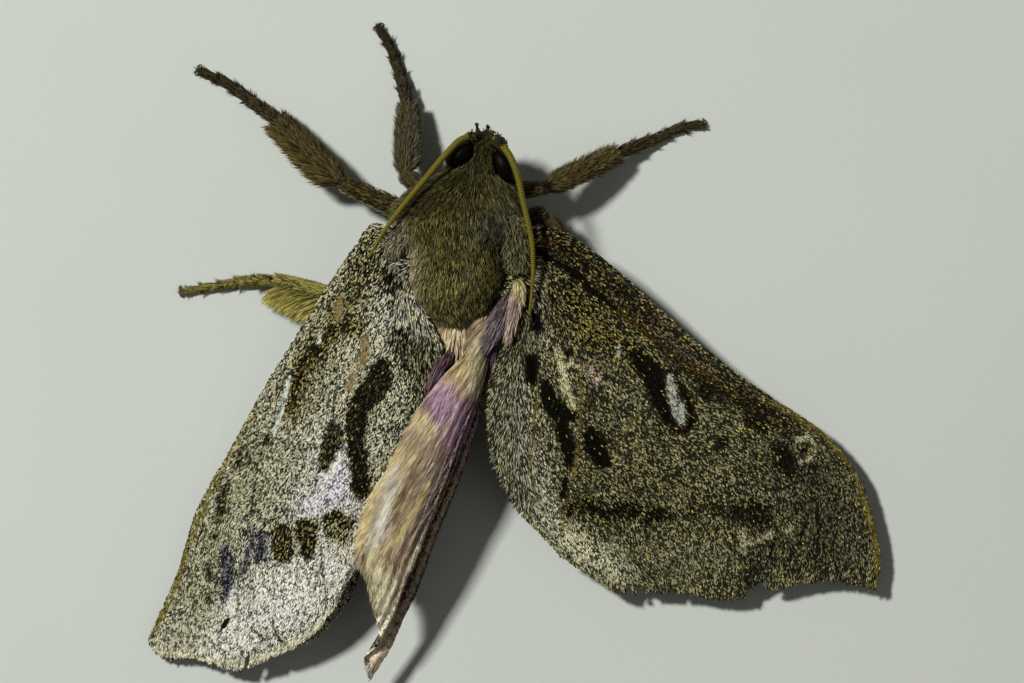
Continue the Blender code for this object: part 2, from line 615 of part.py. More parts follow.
# Legs: thigh, shin and foot, each starting a joint gap from the last
thighs = []
for name, (hip, knee, ankle, foot, thigh_w, shin_w, foot_w) in LEGS.items():
    thigh = np.array(knee) - np.array(hip)
    reach = np.linalg.norm(thigh)
    rows = leg_stations([hip, knee + thigh * KNEE_ROUND / reach],
                        (0, 0.35, 0.72, 1 - 1.6 * KNEE_ROUND / reach, 1),
                        np.array((0.85, 1.0, 0.9, 0.8, 0.45)) * thigh_w, 0.9)
    femur = tube(f"leg_{name}_femur", rows, 8, HAIR)
    trimmed(femur, thorax, prothorax)
    thighs.append(femur)
    shin_rows = leg_stations([knee, ankle], (0, 0.12, 0.4, 0.8, 1),
                             np.array((0.5, 0.8, 1.0, 0.95, 0.8)) * shin_w, 0.75)
    tibia = tube(f"leg_{name}_tibia", shin_rows, 8, HAIR)
    toes = curve([ankle] + foot)
    foot_rows = []
    for k in range(11):
        width = foot_w * (1.0 - 0.35 * k / 10) * (0.8 if k % 2 == 0 else 1.0)
        foot_rows.append((*toes(k / 10), width, 0.5 if k > 4 else width * 0.85))
    tarsus = tube(f"leg_{name}_tarsus", foot_rows, 6, HAIR)
    tip, heading = toes(1.0), toes(1.0) - toes(0.93)
    heading[2] = 0
    heading /= np.linalg.norm(heading)
    for turn in (-0.5, 0.5):
        way = np.array((heading[0] * math.cos(turn) - heading[1] * math.sin(turn),
                        heading[0] * math.sin(turn) + heading[1] * math.cos(turn), 0))
        claw = [tip - heading * 0.35, tip + way * CLAW_LENGTH * 0.45, tip + way * CLAW_LENGTH]
        claw_rows = [(p[0], p[1], z, CLAW_RADIUS * r, CLAW_RADIUS * r)
                     for p, z, r in zip(claw, (0.3, 0.3, 0.12), (1.2, 1.0, 0.35))]
        combine(tarsus, tube("claw", claw_rows, 5, CUTICLE), "UNION")
    trimmed(tarsus, tibia)
    # The shin's hair stands out along both sides and past its end, and hind shins carry a brush
    group = lock_group()
    shin = np.array(ankle) - np.array(knee)
    run = shin / np.linalg.norm(shin)
    side = np.cross(run, (0, 0, 1))
    side /= np.linalg.norm(side)
    up = np.cross(side, run)
    length, width, thick = LEG_LOCK
    for share in SHIN_TUFTS:
        for way in (-1, 1):
            root = np.array(knee) + shin * share + side * way * shin_w * 0.4
            tip = root + run * length * DRAW.uniform(0.85, 1.1) + side * way * (shin_w * 0.6 + 0.35)
            lock(group, root, tip, 0.25, width, thick, up)
    root = np.array(knee) + shin * 0.9 + up * shin_w * 0.3
    lock(group, root, root + run * length * 0.9 + up * 0.75, 0.2, width, thick, up)
    if name in BRUSHES:
        length, width, thick = BRUSH_LOCK
        way, shares = BRUSHES[name]
        for k, share in enumerate(shares):
            root = np.array(knee) + shin * share + side * way * shin_w * 0.35
            heading = run * (0.25 + 0.75 * share) + side * way * (1.15 - 0.35 * share)
            tip = root + heading / np.linalg.norm(heading) * length * DRAW.uniform(0.85, 1.05)
            tip[2] = root[2] - 0.25 + 0.3 * (k % 2)
            lock(group, root, tip, 0.2, width, thick, up)
    fuse(tibia, group, [tarsus])
    trimmed(tibia, femur)

# Hair of the back and the head, lying to the rear, then the sockets of the eyes
trunk_locks(thorax, TRUNK, THORAX_ROWS, TRUNK_LOCK, TRUNK[0][1] - 0.1,
            [abdomen] + wings + feelers + thighs)
plain = trunk_between("plain", TRUNK[0][1], THORAX_FRONT)
trunk_locks(prothorax, TRUNK, PROTHORAX_ROWS, PROTHORAX_LOCK, PROTHORAX_REACH,
            [plain, head] + wings + feelers + thighs + eyes, raised=0.2)
bpy.data.objects.remove(plain, do_unlink=True)
trunk_locks(head, HEAD, HEAD_ROWS, HEAD_LOCK, TRUNK[-1][1] - 0.25, feelers + palps)
plain = trunk_between("plain", THORAX_FRONT + JOINT_GAP, TRUNK[-1][1])
trimmed(head, plain, *eyes)
bpy.data.objects.remove(plain, do_unlink=True)

# The middle of the animal's footprint is the origin, and its feet stand at zero
bpy.context.view_layer.update()
every = [made for made in bpy.data.objects if made.type == "MESH"]
corners = np.array([vert.co[:] for made in every for vert in made.data.vertices])
low, high = corners.min(axis=0), corners.max(axis=0)
shift = np.array((-(low[0] + high[0]) / 2, -(low[1] + high[1]) / 2, -low[2]))
for made in every:
    for vert in made.data.vertices:
        vert.co += Vector(shift)
print("moved by", (shift / MM).round(3), "mm")
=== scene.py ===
"""A large ghost moth, life size, at rest on its feet with the forewings half spread.

Lengths are in millimetres until built() or placed() turns them into metres in the frame. +X is the
image right, +Y the way the head points and +Z up. Left and right are the animal's own.
"""

import math

import bpy
import numpy as np
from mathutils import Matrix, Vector, noise


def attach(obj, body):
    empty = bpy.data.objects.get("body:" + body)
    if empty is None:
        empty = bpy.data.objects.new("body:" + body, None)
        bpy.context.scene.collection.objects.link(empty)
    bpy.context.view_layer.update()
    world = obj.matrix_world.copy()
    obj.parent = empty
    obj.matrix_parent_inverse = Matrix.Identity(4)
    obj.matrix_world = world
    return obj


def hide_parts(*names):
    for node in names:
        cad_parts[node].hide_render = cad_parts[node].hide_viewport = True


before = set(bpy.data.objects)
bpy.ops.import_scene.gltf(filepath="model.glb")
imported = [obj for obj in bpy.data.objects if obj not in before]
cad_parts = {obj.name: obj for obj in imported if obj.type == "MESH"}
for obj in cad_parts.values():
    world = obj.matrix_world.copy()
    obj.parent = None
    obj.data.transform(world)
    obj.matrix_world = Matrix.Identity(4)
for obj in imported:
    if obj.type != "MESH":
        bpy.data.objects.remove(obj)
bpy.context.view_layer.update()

for thing in bpy.context.selected_objects:
    thing.select_set(False)

# Floor, camera and light. The moth stands on a plain pale board, looked at from straight above,
# under one soft lamp from the upper left that throws its shadow to the lower right.
MM = 0.001
FLOOR_SIDE = 1.6
# The camera: the point of the plan below it, its height, and the width of the floor that it shows
MIDDLE = (-0.114, 0.672)
CAMERA_HEIGHT = 900.0
FIELD = 92.16
# The lamps: place and size in metres, and power in watts
LAMPS = {
    "lamp_key": ((-0.42, 0.30, 0.66), 0.09, 7.85),
    "lamp_fill": ((0.55, -0.25, 0.75), 0.6, 0.38),
}
SKY_COLOUR, SKY_STRENGTH = (1.0, 0.98, 0.93, 1.0), 0.095


def paint(red, green, blue):
    """A colour given in 0..255 as the picture shows it, as linear light."""
    value = np.array((red, green, blue), float) / 255
    return np.where(value <= 0.04045, value / 12.92, ((value + 0.055) / 1.055) ** 2.4)


class Wire:
    """A socket of a finish. Arithmetic on it adds Math nodes."""

    def __init__(self, finish, socket):
        self.finish, self.socket = finish, socket

    def maths(self, operation, first, second):
        return self.finish.add("ShaderNodeMath", {"operation": operation}, {0: first, 1: second})

    def __add__(self, other):
        return self.maths("ADD", self, other)

    def __mul__(self, other):
        return self.maths("MULTIPLY", self, other)

    def __rsub__(self, other):
        return self.maths("SUBTRACT", other, self)

    __radd__, __rmul__ = __add__, __mul__


class Finish:
    """A material and its nodes."""

    def __init__(self, name, roughness, specular=0.5):
        self.material = bpy.data.materials.new(name)
        self.material.use_nodes = True
        self.tree = self.material.node_tree
        self.surface = self.tree.nodes["Principled BSDF"]
        self.surface.inputs["Roughness"].default_value = roughness
        self.surface.inputs["Specular IOR Level"].default_value = specular
        self.where = self.add("ShaderNodeTexCoord", {}, {}, "Object")

    def add(self, kind, settings, values, out=0):
        """Adds a node with these settings and inputs, and returns one of its outputs."""
        node = self.tree.nodes.new(kind)
        for key, value in settings.items():
            setattr(node, key, value)
        for key, value in values.items():
            self.join(value, node.inputs[key])
        return Wire(self, node.outputs[out])

    def join(self, value, socket):
        if isinstance(value, Wire):
            self.tree.links.new(value.socket, socket)
        elif np.ndim(value) == 1 and socket.type == "RGBA":
            socket.default_value = (*value, 1.0)
        else:
            socket.default_value = value

    def noise(self, scale, detail=3.0):
        """Noise of this many grains to the millimetre."""
        return self.add("ShaderNodeTexNoise", {},
                        {"Vector": self.where, "Scale": scale / MM, "Detail": detail}, "Fac")

    def stepped(self, value, low, high):
        """0 up to the low value, 1 from the high one on, and even between them."""
        return self.add("ShaderNodeMapRange", {"clamp": True}, {"Value": value, 1: low, 2: high})

    def mixed(self, share, first, second):
        return self.add("ShaderNodeMix", {"data_type": "RGBA"}, {0: share, 6: first, 7: second}, 2)

    def tint(self):
        """The colour that a mesh keeps at each of its vertices."""
        return self.add("ShaderNodeAttribute", {"attribute_name": "tint"}, {}, "Color")

    def shows(self, colour, height, depth, roughness=None):
        """Sends what varies to the surface. The height is a bump of this depth in millimetres."""
        self.join(colour, self.surface.inputs["Base Color"])
        self.join(self.add("ShaderNodeBump", {}, {"Distance": depth * MM, "Height": height}),
                  self.surface.inputs["Normal"])
        if roughness is not None:
            self.join(roughness, self.surface.inputs["Roughness"])
        return self.material


bpy.ops.mesh.primitive_plane_add(size=FLOOR_SIDE, location=(0, 0, 0))
floor = bpy.context.object
floor.name = "floor"
board = Finish("board_pale", roughness=0.85, specular=0.2)
floor.data.materials.append(board.shows(
    colour=board.mixed(board.noise(0.03), paint(198, 202, 194), paint(190, 195, 186)),
    height=board.noise(1.5), depth=0.02))

camera = bpy.data.objects.new("camera", bpy.data.cameras.new("camera"))
bpy.context.collection.objects.link(camera)
camera.location = (MIDDLE[0] * MM, MIDDLE[1] * MM, CAMERA_HEIGHT * MM)
camera.data.lens = camera.data.sensor_width * CAMERA_HEIGHT / FIELD
camera.data.clip_start = 0.01
bpy.context.scene.camera = camera
bpy.context.scene.view_settings.view_transform = "Standard"

for name, (place, size, power) in LAMPS.items():
    bpy.ops.object.light_add(type="AREA", location=place)
    lamp = bpy.context.object
    lamp.name = name
    lamp.data.size = size
    lamp.data.energy = power
    lamp.rotation_euler = (-Vector(place)).to_track_quat("-Z", "Y").to_euler()
sky = bpy.data.worlds.new("sky")
bpy.context.scene.world = sky
sky.use_nodes = True
backdrop = sky.node_tree.nodes["Background"]
backdrop.inputs["Color"].default_value = SKY_COLOUR
backdrop.inputs["Strength"].default_value = SKY_STRENGTH

# Body skin. One hide runs from the face to the tail and out along the six legs, of thin cuticle
# that its coat hides almost everywhere. It stands in for the solids of the trunk, palps and legs.
SHIFT = np.array((0.246, -0.183, 0.0))
# How far below the flesh's outline the hide lies, to leave room for the coat
COAT = {"trunk": 0.22, "head": 0.15, "thigh": 0.08, "shin": 0.1, "foot": 0.05}
# Trunk and head: x, y, half width, underside, top. Abdomen: x, y, z, half width, half height
TRUNK = [
    (-5.95, 1.45, 0.7, 6.85, 8.0), (-5.8, 2.1, 1.45, 5.75, 8.9), (-5.67, 2.8, 2.25, 5.05, 9.5),
    (-5.5, 3.9, 3.35, 4.15, 10.3), (-5.35, 5.4, 4.1, 3.25, 11.1), (-5.2, 7.3, 4.25, 2.65, 11.6),
    (-5.2, 9.1, 4.45, 2.55, 11.6), (-5.15, 10.7, 5.45, 2.55, 11.3), (-5.15, 12.1, 5.85, 2.65, 10.9),
    (-5.05, 13.1, 5.65, 2.75, 10.4), (-4.6, 14.3, 4.85, 3.05, 9.9), (-4.1, 15.4, 3.85, 3.55, 9.5),
    (-3.8, 16.1, 2.95, 3.95, 9.2),
]
HEAD = [
    (-3.95, 15.4, 2.6, 4.3, 9.3), (-3.6, 16.35, 2.5, 4.3, 9.5), (-3.35, 17.0, 2.45, 4.1, 9.5),
    (-3.15, 17.7, 2.25, 4.1, 9.3), (-2.9, 18.5, 1.8, 4.4, 8.9), (-2.7, 19.15, 1.15, 5.0, 8.3),
    (-2.58, 19.6, 0.55, 5.8, 7.7),
]
HEAD_ACROSS = (0.974, -0.225, 0.0)
ABDOMEN = [
    (-5.5, 3.4, 6.7, 2.2, 2.1), (-5.6, 2.0, 6.7, 2.45, 2.35), (-5.75, 0.6, 6.4, 2.7, 2.6),
    (-5.9, -0.8, 6.0, 2.95, 2.8), (-6.5, -3.5, 5.2, 3.25, 3.1), (-7.4, -7.1, 4.5, 3.3, 3.15),
    (-8.4, -10.7, 3.9, 3.1, 3.0), (-9.4, -14.3, 3.2, 2.7, 2.65), (-10.2, -17.5, 2.4, 2.15, 2.4),
    (-10.7, -19.5, 1.8, 1.6, 1.95), (-11.05, -20.9, 1.3, 0.9, 1.35),
]
PALPS = {
    "left": [(-3.2, 18.9, 6.8), (-3.42, 19.7, 7.0), (-3.5, 20.3, 7.3)],
    "right": [(-2.6, 18.9, 6.8), (-2.55, 19.6, 7.0), (-2.5, 20.1, 7.3)],
}
PALP_RADII = (0.24, 0.19, 0.15)
# Legs: hip, knee, ankle, points along the foot, then the half widths of thigh, shin and foot
LEGS = {
    "front_left": (
        (-6.6, 13.6, 5.1), (-10.0, 15.7, 4.4), (-9.75, 22.2, 1.8),
        [(-10.1, 23.7, 1.1), (-10.6, 25.3, 0.5), (-11.2, 27.1, 0.42), (-11.9, 28.3, 0.4),
         (-12.3, 29.0, 0.38)], 0.8, 0.8, 0.52),
    "middle_left": (
        (-8.2, 11.6, 4.9), (-15.5, 15.0, 4.2), (-21.5, 20.9, 1.8),
        [(-23.5, 22.2, 1.0), (-25.1, 23.5, 0.5), (-26.6, 24.4, 0.42), (-27.8, 24.9, 0.4),
         (-28.4, 25.2, 0.38)], 0.9, 0.92, 0.55),
    "hind_left": (
        (-7.6, 6.0, 3.9), (-15.6, 4.8, 2.8), (-21.8, 6.4, 1.3),
        [(-24.4, 6.3, 0.7), (-26.5, 5.9, 0.45), (-28.0, 5.7, 0.42), (-29.2, 5.5, 0.4),
         (-29.9, 5.4, 0.38)], 0.85, 0.68, 0.45),
    "front_right": (
        (-2.4, 14.2, 5.1), (2.6, 14.6, 4.7), (9.2, 17.8, 1.8),
        [(11.2, 18.6, 1.0), (13.0, 19.3, 0.5), (14.5, 20.0, 0.42), (15.7, 20.3, 0.4),
         (16.6, 20.4, 0.38)], 0.7, 0.85, 0.5),
    "middle_right": (
        (-2.0, 10.5, 4.7), (2.4, 12.4, 4.1), (6.8, 5.3, 1.8),
        [(8.1, 3.7, 0.9), (9.2, 2.3, 0.45), (10.4, 0.8, 0.42), (11.2, -0.1, 0.4),
         (11.6, -0.7, 0.38)], 0.8, 0.78, 0.5),
    "hind_right": (
        (-2.8, 6.0, 3.9), (2.6, 1.9, 3.3), (6.7, -4.2, 1.6),
        [(7.6, -6.0, 0.85), (8.3, -7.6, 0.45), (9.0, -9.1, 0.42), (9.6, -10.4, 0.4),
         (9.8, -11.0, 0.38)], 0.8, 0.68, 0.45),
}
# Thigh and shin: how far along, and how much of the half width is left there
THIGH_SHAPE = ((0, 0.85), (0.35, 1.0), (0.72, 0.9), (0.93, 0.8), (1, 0.45))
SHIN_SHAPE = ((0, 0.5), (0.12, 0.8), (0.4, 1.0), (0.8, 0.95), (1, 0.8))
KNEE_OVERLAP = 0.35
FOOT_JOINTS = 5
# Eyes: middle and the way the long axis points, in degrees from the image right
EYES = {"left": ((-4.98, 17.58, 7.85), 36.0), "right": ((-1.12, 16.6, 7.85), 114.7)}
EYE_AXES = (1.55, 0.98, 1.45)
EYE_SEAT = 0.3
WELD = 1e-4
SKIN_CELL = 0.16
HIDE_DARK, HIDE_ROSE = (44, 34, 18), (130, 104, 82)
# Where the hide turns from dark to rose, and over how much
ROSE_FROM, ROSE_BLEND = 3.6, 1.5
draw = np.random.default_rng(5)


def eye_reach(points, middle, angle):
    """How far plan points are from the middle of an eye, its rim being 1."""
    turn = math.radians(angle)
    off = points[:, :2] - middle[:2]
    along = off[:, 0] * math.cos(turn) + off[:, 1] * math.sin(turn)
    across = off[:, 1] * math.cos(turn) - off[:, 0] * math.sin(turn)
    return np.hypot(along / EYE_AXES[0], across / EYE_AXES[1])


def curve(points):
    """A function of 0..1 that follows these points smoothly, at an even pace along the length."""
    p = np.asarray(points, float)
    p = np.vstack([2 * p[0] - p[1], p, 2 * p[-1] - p[-2]])
    dense = [p[1]]
    for i in range(1, len(p) - 2):
        for t in np.linspace(0.05, 1, 20):
            dense.append(0.5 * (
                2 * p[i] + (p[i + 1] - p[i - 1]) * t
                + (2 * p[i - 1] - 5 * p[i] + 4 * p[i + 1] - p[i + 2]) * t ** 2
                + (3 * p[i] - p[i - 1] - 3 * p[i + 1] + p[i + 2]) * t ** 3))
    dense = np.array(dense)
    length = np.concatenate([[0], np.cumsum(np.linalg.norm(np.diff(dense[:, :3], axis=0), axis=1))])
    length /= length[-1]
    return lambda t: np.stack([np.interp(t, length, dense[:, k]) for k in range(p.shape[1])], -1)


def unit(vectors):
    return vectors / np.linalg.norm(vectors, axis=-1, keepdims=True)


def limb(stations, across=None):
    """The surface of a limb as a function of how far along, the angle round it, 90 degrees being the
    top, and how far out. Stations are x, y, z, half width, half height."""
    path = curve(stations)

    def surface(t, turn, out=0.0):
        t, turn, out = np.broadcast_arrays(np.asarray(t, float), turn, out)
        here = path(t)
        run = unit(path(np.minimum(t + 0.01, 1))[..., :3] - path(np.maximum(t - 0.01, 0))[..., :3])
        if across is None:
            side = unit(np.cross(run, (0.0, 0.0, 1.0)))
            up = np.cross(side, run)
        else:
            side, up = np.broadcast_to(across, run.shape), np.broadcast_to((0.0, 0.0, 1.0), run.shape)
        c, s = np.cos(turn)[..., None], np.sin(turn)[..., None]
        wide, high = here[..., 3:4], here[..., 4:5]
        point = here[..., :3] + side * wide * c + up * high * s
        return point + unit(side * c / wide + up * s / high) * out[..., None]

    return surface


def upright(stations):
    """Stations of x, y, half width, underside, top as x, y, z, half width, half height."""
    return [(x, y, (low + top) / 2, wide, (top - low) / 2) for x, y, wide, low, top in stations]


def placed(name, points, target):
    """Names an object and moves its vertices to these points of the plan."""
    target.name = target.data.name = name
    target.location = (0, 0, 0)
    target.data.vertices.foreach_set("co", ((points + SHIFT) * MM).ravel())
    target.data.update()
    return target


def shaped(target, kind, **settings):
    """Adds a modifier with these settings and applies it."""
    step = target.modifiers.new("step", kind)
    for key, value in settings.items():
        setattr(step, key, value)
    bpy.context.view_layer.objects.active = target
    bpy.ops.object.modifier_apply(modifier=step.name)


def sleeve(name, surface, sides, rings, out=0.0, taper=0.5):
    """A closed tube over a limb's surface: a grid rolled up and welded along its seam and at both ends,
    which are drawn in. Out may be a function of how far along. Each vertex keeps it as far."""
    bpy.ops.mesh.primitive_grid_add(x_subdivisions=rings + 2, y_subdivisions=sides, size=1)
    made = bpy.context.object
    flat = np.array([vert.co[:] for vert in made.data.vertices]) + 0.5
    ring = flat[:, 0] * (rings + 2)
    t = np.clip((ring - 1) / rings, 0, 1)
    turn = flat[:, 1] * 2 * math.pi
    made.data.attributes.new("far", "FLOAT", "POINT").data.foreach_set("value", t)
    out = out(t) if callable(out) else out
    points = surface(t, turn, out)
    axis = (points + surface(t, turn + math.pi, out)) / 2
    ends = np.interp(np.minimum(ring, rings + 2 - ring), (0, 1, 2), (0, taper, 1))[:, None]
    placed(name, axis + (points - axis) * ends, made)
    shaped(made, "WELD", merge_threshold=WELD * MM)
    return made


def joined(name, pieces):
    """Makes one object of several."""
    bpy.ops.object.select_all(action="DESELECT")
    for piece in pieces:
        piece.select_set(True)
    bpy.context.view_layer.objects.active = pieces[0]
    bpy.ops.object.join()
    made = bpy.context.object
    made.name = made.data.name = name
    made.select_set(False)
    return made


def tinted(target, colours):
    """Stores a colour at each vertex."""
    layer = target.data.attributes.new("tint", "FLOAT_COLOR", "POINT")
    layer.data.foreach_set("color", np.hstack([colours, np.ones((len(colours), 1))]).ravel())


def plan(target):
    """The vertices of an object in millimetres of the plan."""
    points = np.empty(len(target.data.vertices) * 3)
    target.data.vertices.foreach_get("co", points)
    return points.reshape(-1, 3) / MM - SHIFT


trunk_side = limb(upright(TRUNK), (1.0, 0.0, 0.0))
head_side = limb(upright(HEAD), HEAD_ACROSS)
abdomen_side = limb(ABDOMEN)
thigh_side, shin_side, foot_side = {}, {}, {}
hides = [sleeve("hide", trunk_side, 48, 40, -COAT["trunk"]),
         sleeve("hide", head_side, 40, 24, -COAT["head"]),
         sleeve("hide", abdomen_side, 44, 60, -COAT["trunk"])]
for name, (hip, knee, ankle, foot, thigh_w, shin_w, foot_w) in LEGS.items():
    hip, knee, ankle = (np.array(place) for place in (hip, knee, ankle))
    past = knee + unit(knee - hip) * KNEE_OVERLAP
    thigh_side[name] = limb([(*(hip + (past - hip) * t), thigh_w * r, thigh_w * r * 0.9)
                             for t, r in THIGH_SHAPE])
    shin_side[name] = limb([(*(knee + (ankle - knee) * t), shin_w * r, shin_w * r * 0.75)
                            for t, r in SHIN_SHAPE])
    toes = curve([ankle] + foot)
    steps = np.linspace(0, 1, 4 * FOOT_JOINTS + 1)
    swell = 1 - 0.2 * np.abs(np.cos(steps * math.pi * FOOT_JOINTS))
    foot_side[name] = limb([(*toes(t), foot_w * (1.2 - 0.62 * t) * r, foot_w * 0.8 * (1.1 - 0.45 * t) * r)
                            for t, r in zip(steps, swell)])
    hides += [sleeve("hide", thigh_side[name], 20, 20, -COAT["thigh"]),
              sleeve("hide", shin_side[name], 20, 24, -COAT["shin"]),
              sleeve("hide", foot_side[name], 16, 50, -COAT["foot"])]
for points in PALPS.values():
    hides.append(sleeve("hide", limb([(*p, r, r) for p, r in zip(points, PALP_RADII)]), 14, 10))
hide = joined("body_skin", hides)
shaped(hide, "REMESH", mode="VOXEL", voxel_size=SKIN_CELL * MM, use_smooth_shade=True)
shaped(hide, "SMOOTH", factor=0.5, iterations=4)
place = plan(hide)
for middle, angle in EYES.values():
    reach = eye_reach(place, middle, angle)
    lens_top = middle[2] + EYE_AXES[2] * np.sqrt(np.clip(1 - reach ** 2, 0, 1)) - EYE_SEAT
    under = (reach < 1) & (place[:, 2] > lens_top)
    place[under, 2] = lens_top[under]
placed("body_skin", place, hide)
rose = np.clip((ROSE_FROM - place[:, 1]) / ROSE_BLEND, 0, 1) * (np.abs(place[:, 0] + 7.5) < 6)
tinted(hide, paint(*HIDE_DARK) * (1 - rose[:, None]) + paint(*HIDE_ROSE) * rose[:, None])
leather = Finish("cuticle_under_hair", roughness=0.8, specular=0.08)
grain = leather.noise(3.0, 4.0)
hide.data.materials.append(leather.shows(
    colour=leather.mixed(leather.stepped(grain, 0.35, 0.65), leather.tint(), (0.012, 0.009, 0.004)),
    height=grain, depth=0.06))
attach(hide, "root")
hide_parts("head", "prothorax", "thorax", "abdomen", "palp_left", "palp_right",
            *[f"leg_{name}_{part}" for name in LEGS for part in ("femur", "tibia", "tarsus")])

# Claws. Each foot ends in two small hooked claws of dark horn. They are set side by side in its last
# joint, spread like a fork and lie flat on the floor.
CLAW_SPREAD = 0.55


def core(surface, t):
    """The middle of a limb at this place along it."""
    return surface(t, 0.0) / 2 + surface(t, math.pi) / 2


claws = []
for name in LEGS:
    tip, back = core(foot_side[name], 1.0), core(foot_side[name], 0.93)
    heading = unit((tip - back) * (1, 1, 0))
    for turn in (-CLAW_SPREAD, CLAW_SPREAD):
        c, s = math.cos(turn), math.sin(turn)
        way = np.array((heading[0] * c - heading[1] * s, heading[0] * s + heading[1] * c, 0))
        bend = np.array((-way[1], way[0], 0)) * np.sign(turn)
        hook = [(*(tip - heading * 0.3), 0.15, 0.15), (*(tip + way * 0.25 + (0, 0, 0.06)), 0.13, 0.13),
                (*(tip + way * 0.45 + bend * 0.12), 0.1, 0.1),
                (*((tip + way * 0.48 + bend * 0.38) * (1, 1, 0) + (0, 0, 0.08)), 0.03, 0.03)]
        claws.append(sleeve("claw", limb(hook), 10, 14))
claws = joined("claws", claws)
horn = Finish("claw_horn", roughness=0.35)
claws.data.materials.append(horn.shows(
    colour=horn.mixed(horn.noise(4.0), paint(30, 20, 10), paint(62, 42, 20)), height=horn.noise(9.0),
    depth=0.01))
for face in claws.data.polygons:
    face.use_smooth = True
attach(claws, "root")

# Eyes. Two large eyes of many small lenses, black brown and glossy like polished horn. Each is an
# egg shape set deep in the side of the head, and the face's hair closes in round its rim.
LENS_CELLS = 14


def turned(points, angle):
    """Points turned to the left in the plan by this many degrees."""
    c, s = math.cos(math.radians(angle)), math.sin(math.radians(angle))
    return np.hstack([points[:, :2] @ np.array(((c, s), (-s, c))), points[:, 2:]])


lens = Finish("eye_lenses", roughness=0.3, specular=0.05)
cells = lens.add("ShaderNodeTexVoronoi", {"feature": "DISTANCE_TO_EDGE"},
                 {"Vector": lens.where, "Scale": LENS_CELLS / MM}, "Distance")
lens_finish = lens.shows(
    colour=lens.mixed(lens.noise(0.8), paint(6, 6, 4), paint(13, 11, 7)),
    roughness=0.5 - 0.2 * lens.stepped(cells, 0.0, 0.3), height=lens.stepped(cells, 0.0, 0.35),
    depth=0.004)
for side, (middle, angle) in EYES.items():
    bpy.ops.mesh.primitive_ico_sphere_add(subdivisions=6, radius=1)
    eye = bpy.context.object
    flat = np.array([vert.co[:] for vert in eye.data.vertices]) * EYE_AXES
    placed("eye_lens_" + side, turned(flat, angle) + middle, eye)
    bpy.ops.object.shade_smooth()
    eye.data.materials.append(lens_finish)
    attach(eye, "root")
    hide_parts("eye_" + side)

# Feelers. Each is a tapered string of about a hundred short rings, olive yellow with dark grooves
# between them, that rises from the face and bends back over the shoulder.
ANTENNAE = {
    "left": [
        (-3.7, 18.7, 8.3), (-4.03, 19.08, 8.8), (-4.6, 18.95, 9.2), (-5.22, 18.6, 9.5),
        (-6.27, 17.5, 9.8), (-7.2, 16.4, 10.0), (-8.52, 14.8, 10.1), (-9.84, 13.2, 10.2),
        (-11.16, 11.5, 9.8), (-12.2, 9.94, 9.2), (-13.14, 8.35, 8.4),
    ],
    "right": [
        (-2.0, 18.9, 8.0), (-1.5, 18.6, 8.7), (-0.93, 17.95, 9.3), (-0.4, 17.07, 9.7),
        (0.06, 15.88, 9.8), (0.33, 14.8, 9.9), (0.59, 13.5, 10.0), (0.99, 11.8, 10.0),
        (1.39, 9.8, 9.9), (1.52, 7.8, 9.8), (1.45, 5.8, 9.6), (1.19, 3.2, 9.3),
    ],
}
FEELER_RINGS = 100
RING_RISE = 0.05
# How far along a feeler, and its radius there
FEELER_PLACES, FEELER_RADII = (0, 0.3, 0.75, 1), (0.28, 0.28, 0.2, 0.08)
FEELER_ROOT, FEELER_TIP = (118, 111, 30), (130, 116, 32)
ringed = Finish("feeler_rings", roughness=0.5, specular=0.12)
speck = ringed.noise(9.0)
ringed_finish = ringed.shows(
    colour=ringed.mixed(0.5 * ringed.stepped(speck, 0.3, 0.7), ringed.tint(), paint(48, 42, 14)),
    height=speck, depth=0.015)
for side, points in ANTENNAE.items():
    radii = np.interp(np.linspace(0, 1, len(points)), FEELER_PLACES, FEELER_RADII)
    string = limb([(*p, r, r) for p, r in zip(points, radii)])
    feeler = sleeve("feeler_" + side, string, 12, FEELER_RINGS * 4,
                    lambda t: RING_RISE * np.abs(np.sin(t * FEELER_RINGS * math.pi)), taper=0.9)
    far = np.empty(len(feeler.data.vertices))
    feeler.data.attributes["far"].data.foreach_get("value", far)
    crest = np.abs(np.sin(far * FEELER_RINGS * math.pi))[:, None]
    olive = paint(*FEELER_ROOT) * (1 - far[:, None]) + paint(*FEELER_TIP) * far[:, None]
    tinted(feeler, olive * (0.05 + 1.4 * crest ** 2))
    feeler.data.materials.append(ringed_finish)
    for face in feeler.data.polygons:
        face.use_smooth = True
    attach(feeler, "root")
    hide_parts("antenna_" + side)

# Hair of the back and head. Short stiff hair lies to the rear from the face to the end of the
# thorax, dark at the root and olive yellow at the tip, in small clumps that part here and there.
HAIR_ROOT = paint(26, 21, 10)
# Half the size of the patch of the unwrap that holds one blade, and the rim that stays free
PATCH = 0.0014
BAKE_RIM = 0.02
# No hair comes closer to the floor than this
CLEARANCE = 0.03
# How thick a blade is to its width
FLATNESS = 0.4
# Round patches of the back's hair: middle on the plan, radius and colour. A reddish one lies behind
# the left eye, a grey one behind the right, pale ones along the wings and dull ones at the rear
BACK_SPOTS = [
    ((-7.6, 14.0), 1.2, (104, 72, 48)), ((-2.2, 11.2), 1.7, (130, 126, 110)),
    ((-9.5, 9.0), 0.9, (190, 178, 136)), ((-9.7, 7.2), 1.1, (214, 200, 156)),
    ((-9.5, 5.2), 1.1, (190, 178, 140)), ((-5.4, 2.6), 1.6, (122, 114, 74)),
    ((-2.2, 3.4), 1.2, (140, 128, 84)), ((-0.3, 8.2), 1.1, (150, 148, 110)),
]
# The hair darkens to the head: place along the body, and how much light is left
SHADE_PLACES, SHADES = (9.0, 12.5, 15.5, 18.0), (1.03, 0.76, 0.48, 0.26)
FACE_HAIRS, PALP_HAIRS, HUMP_HAIRS = 900, 170, 420
FEELER_HUMPS = ((-3.95, 19.15, 9.05), (-1.55, 18.7, 9.3))


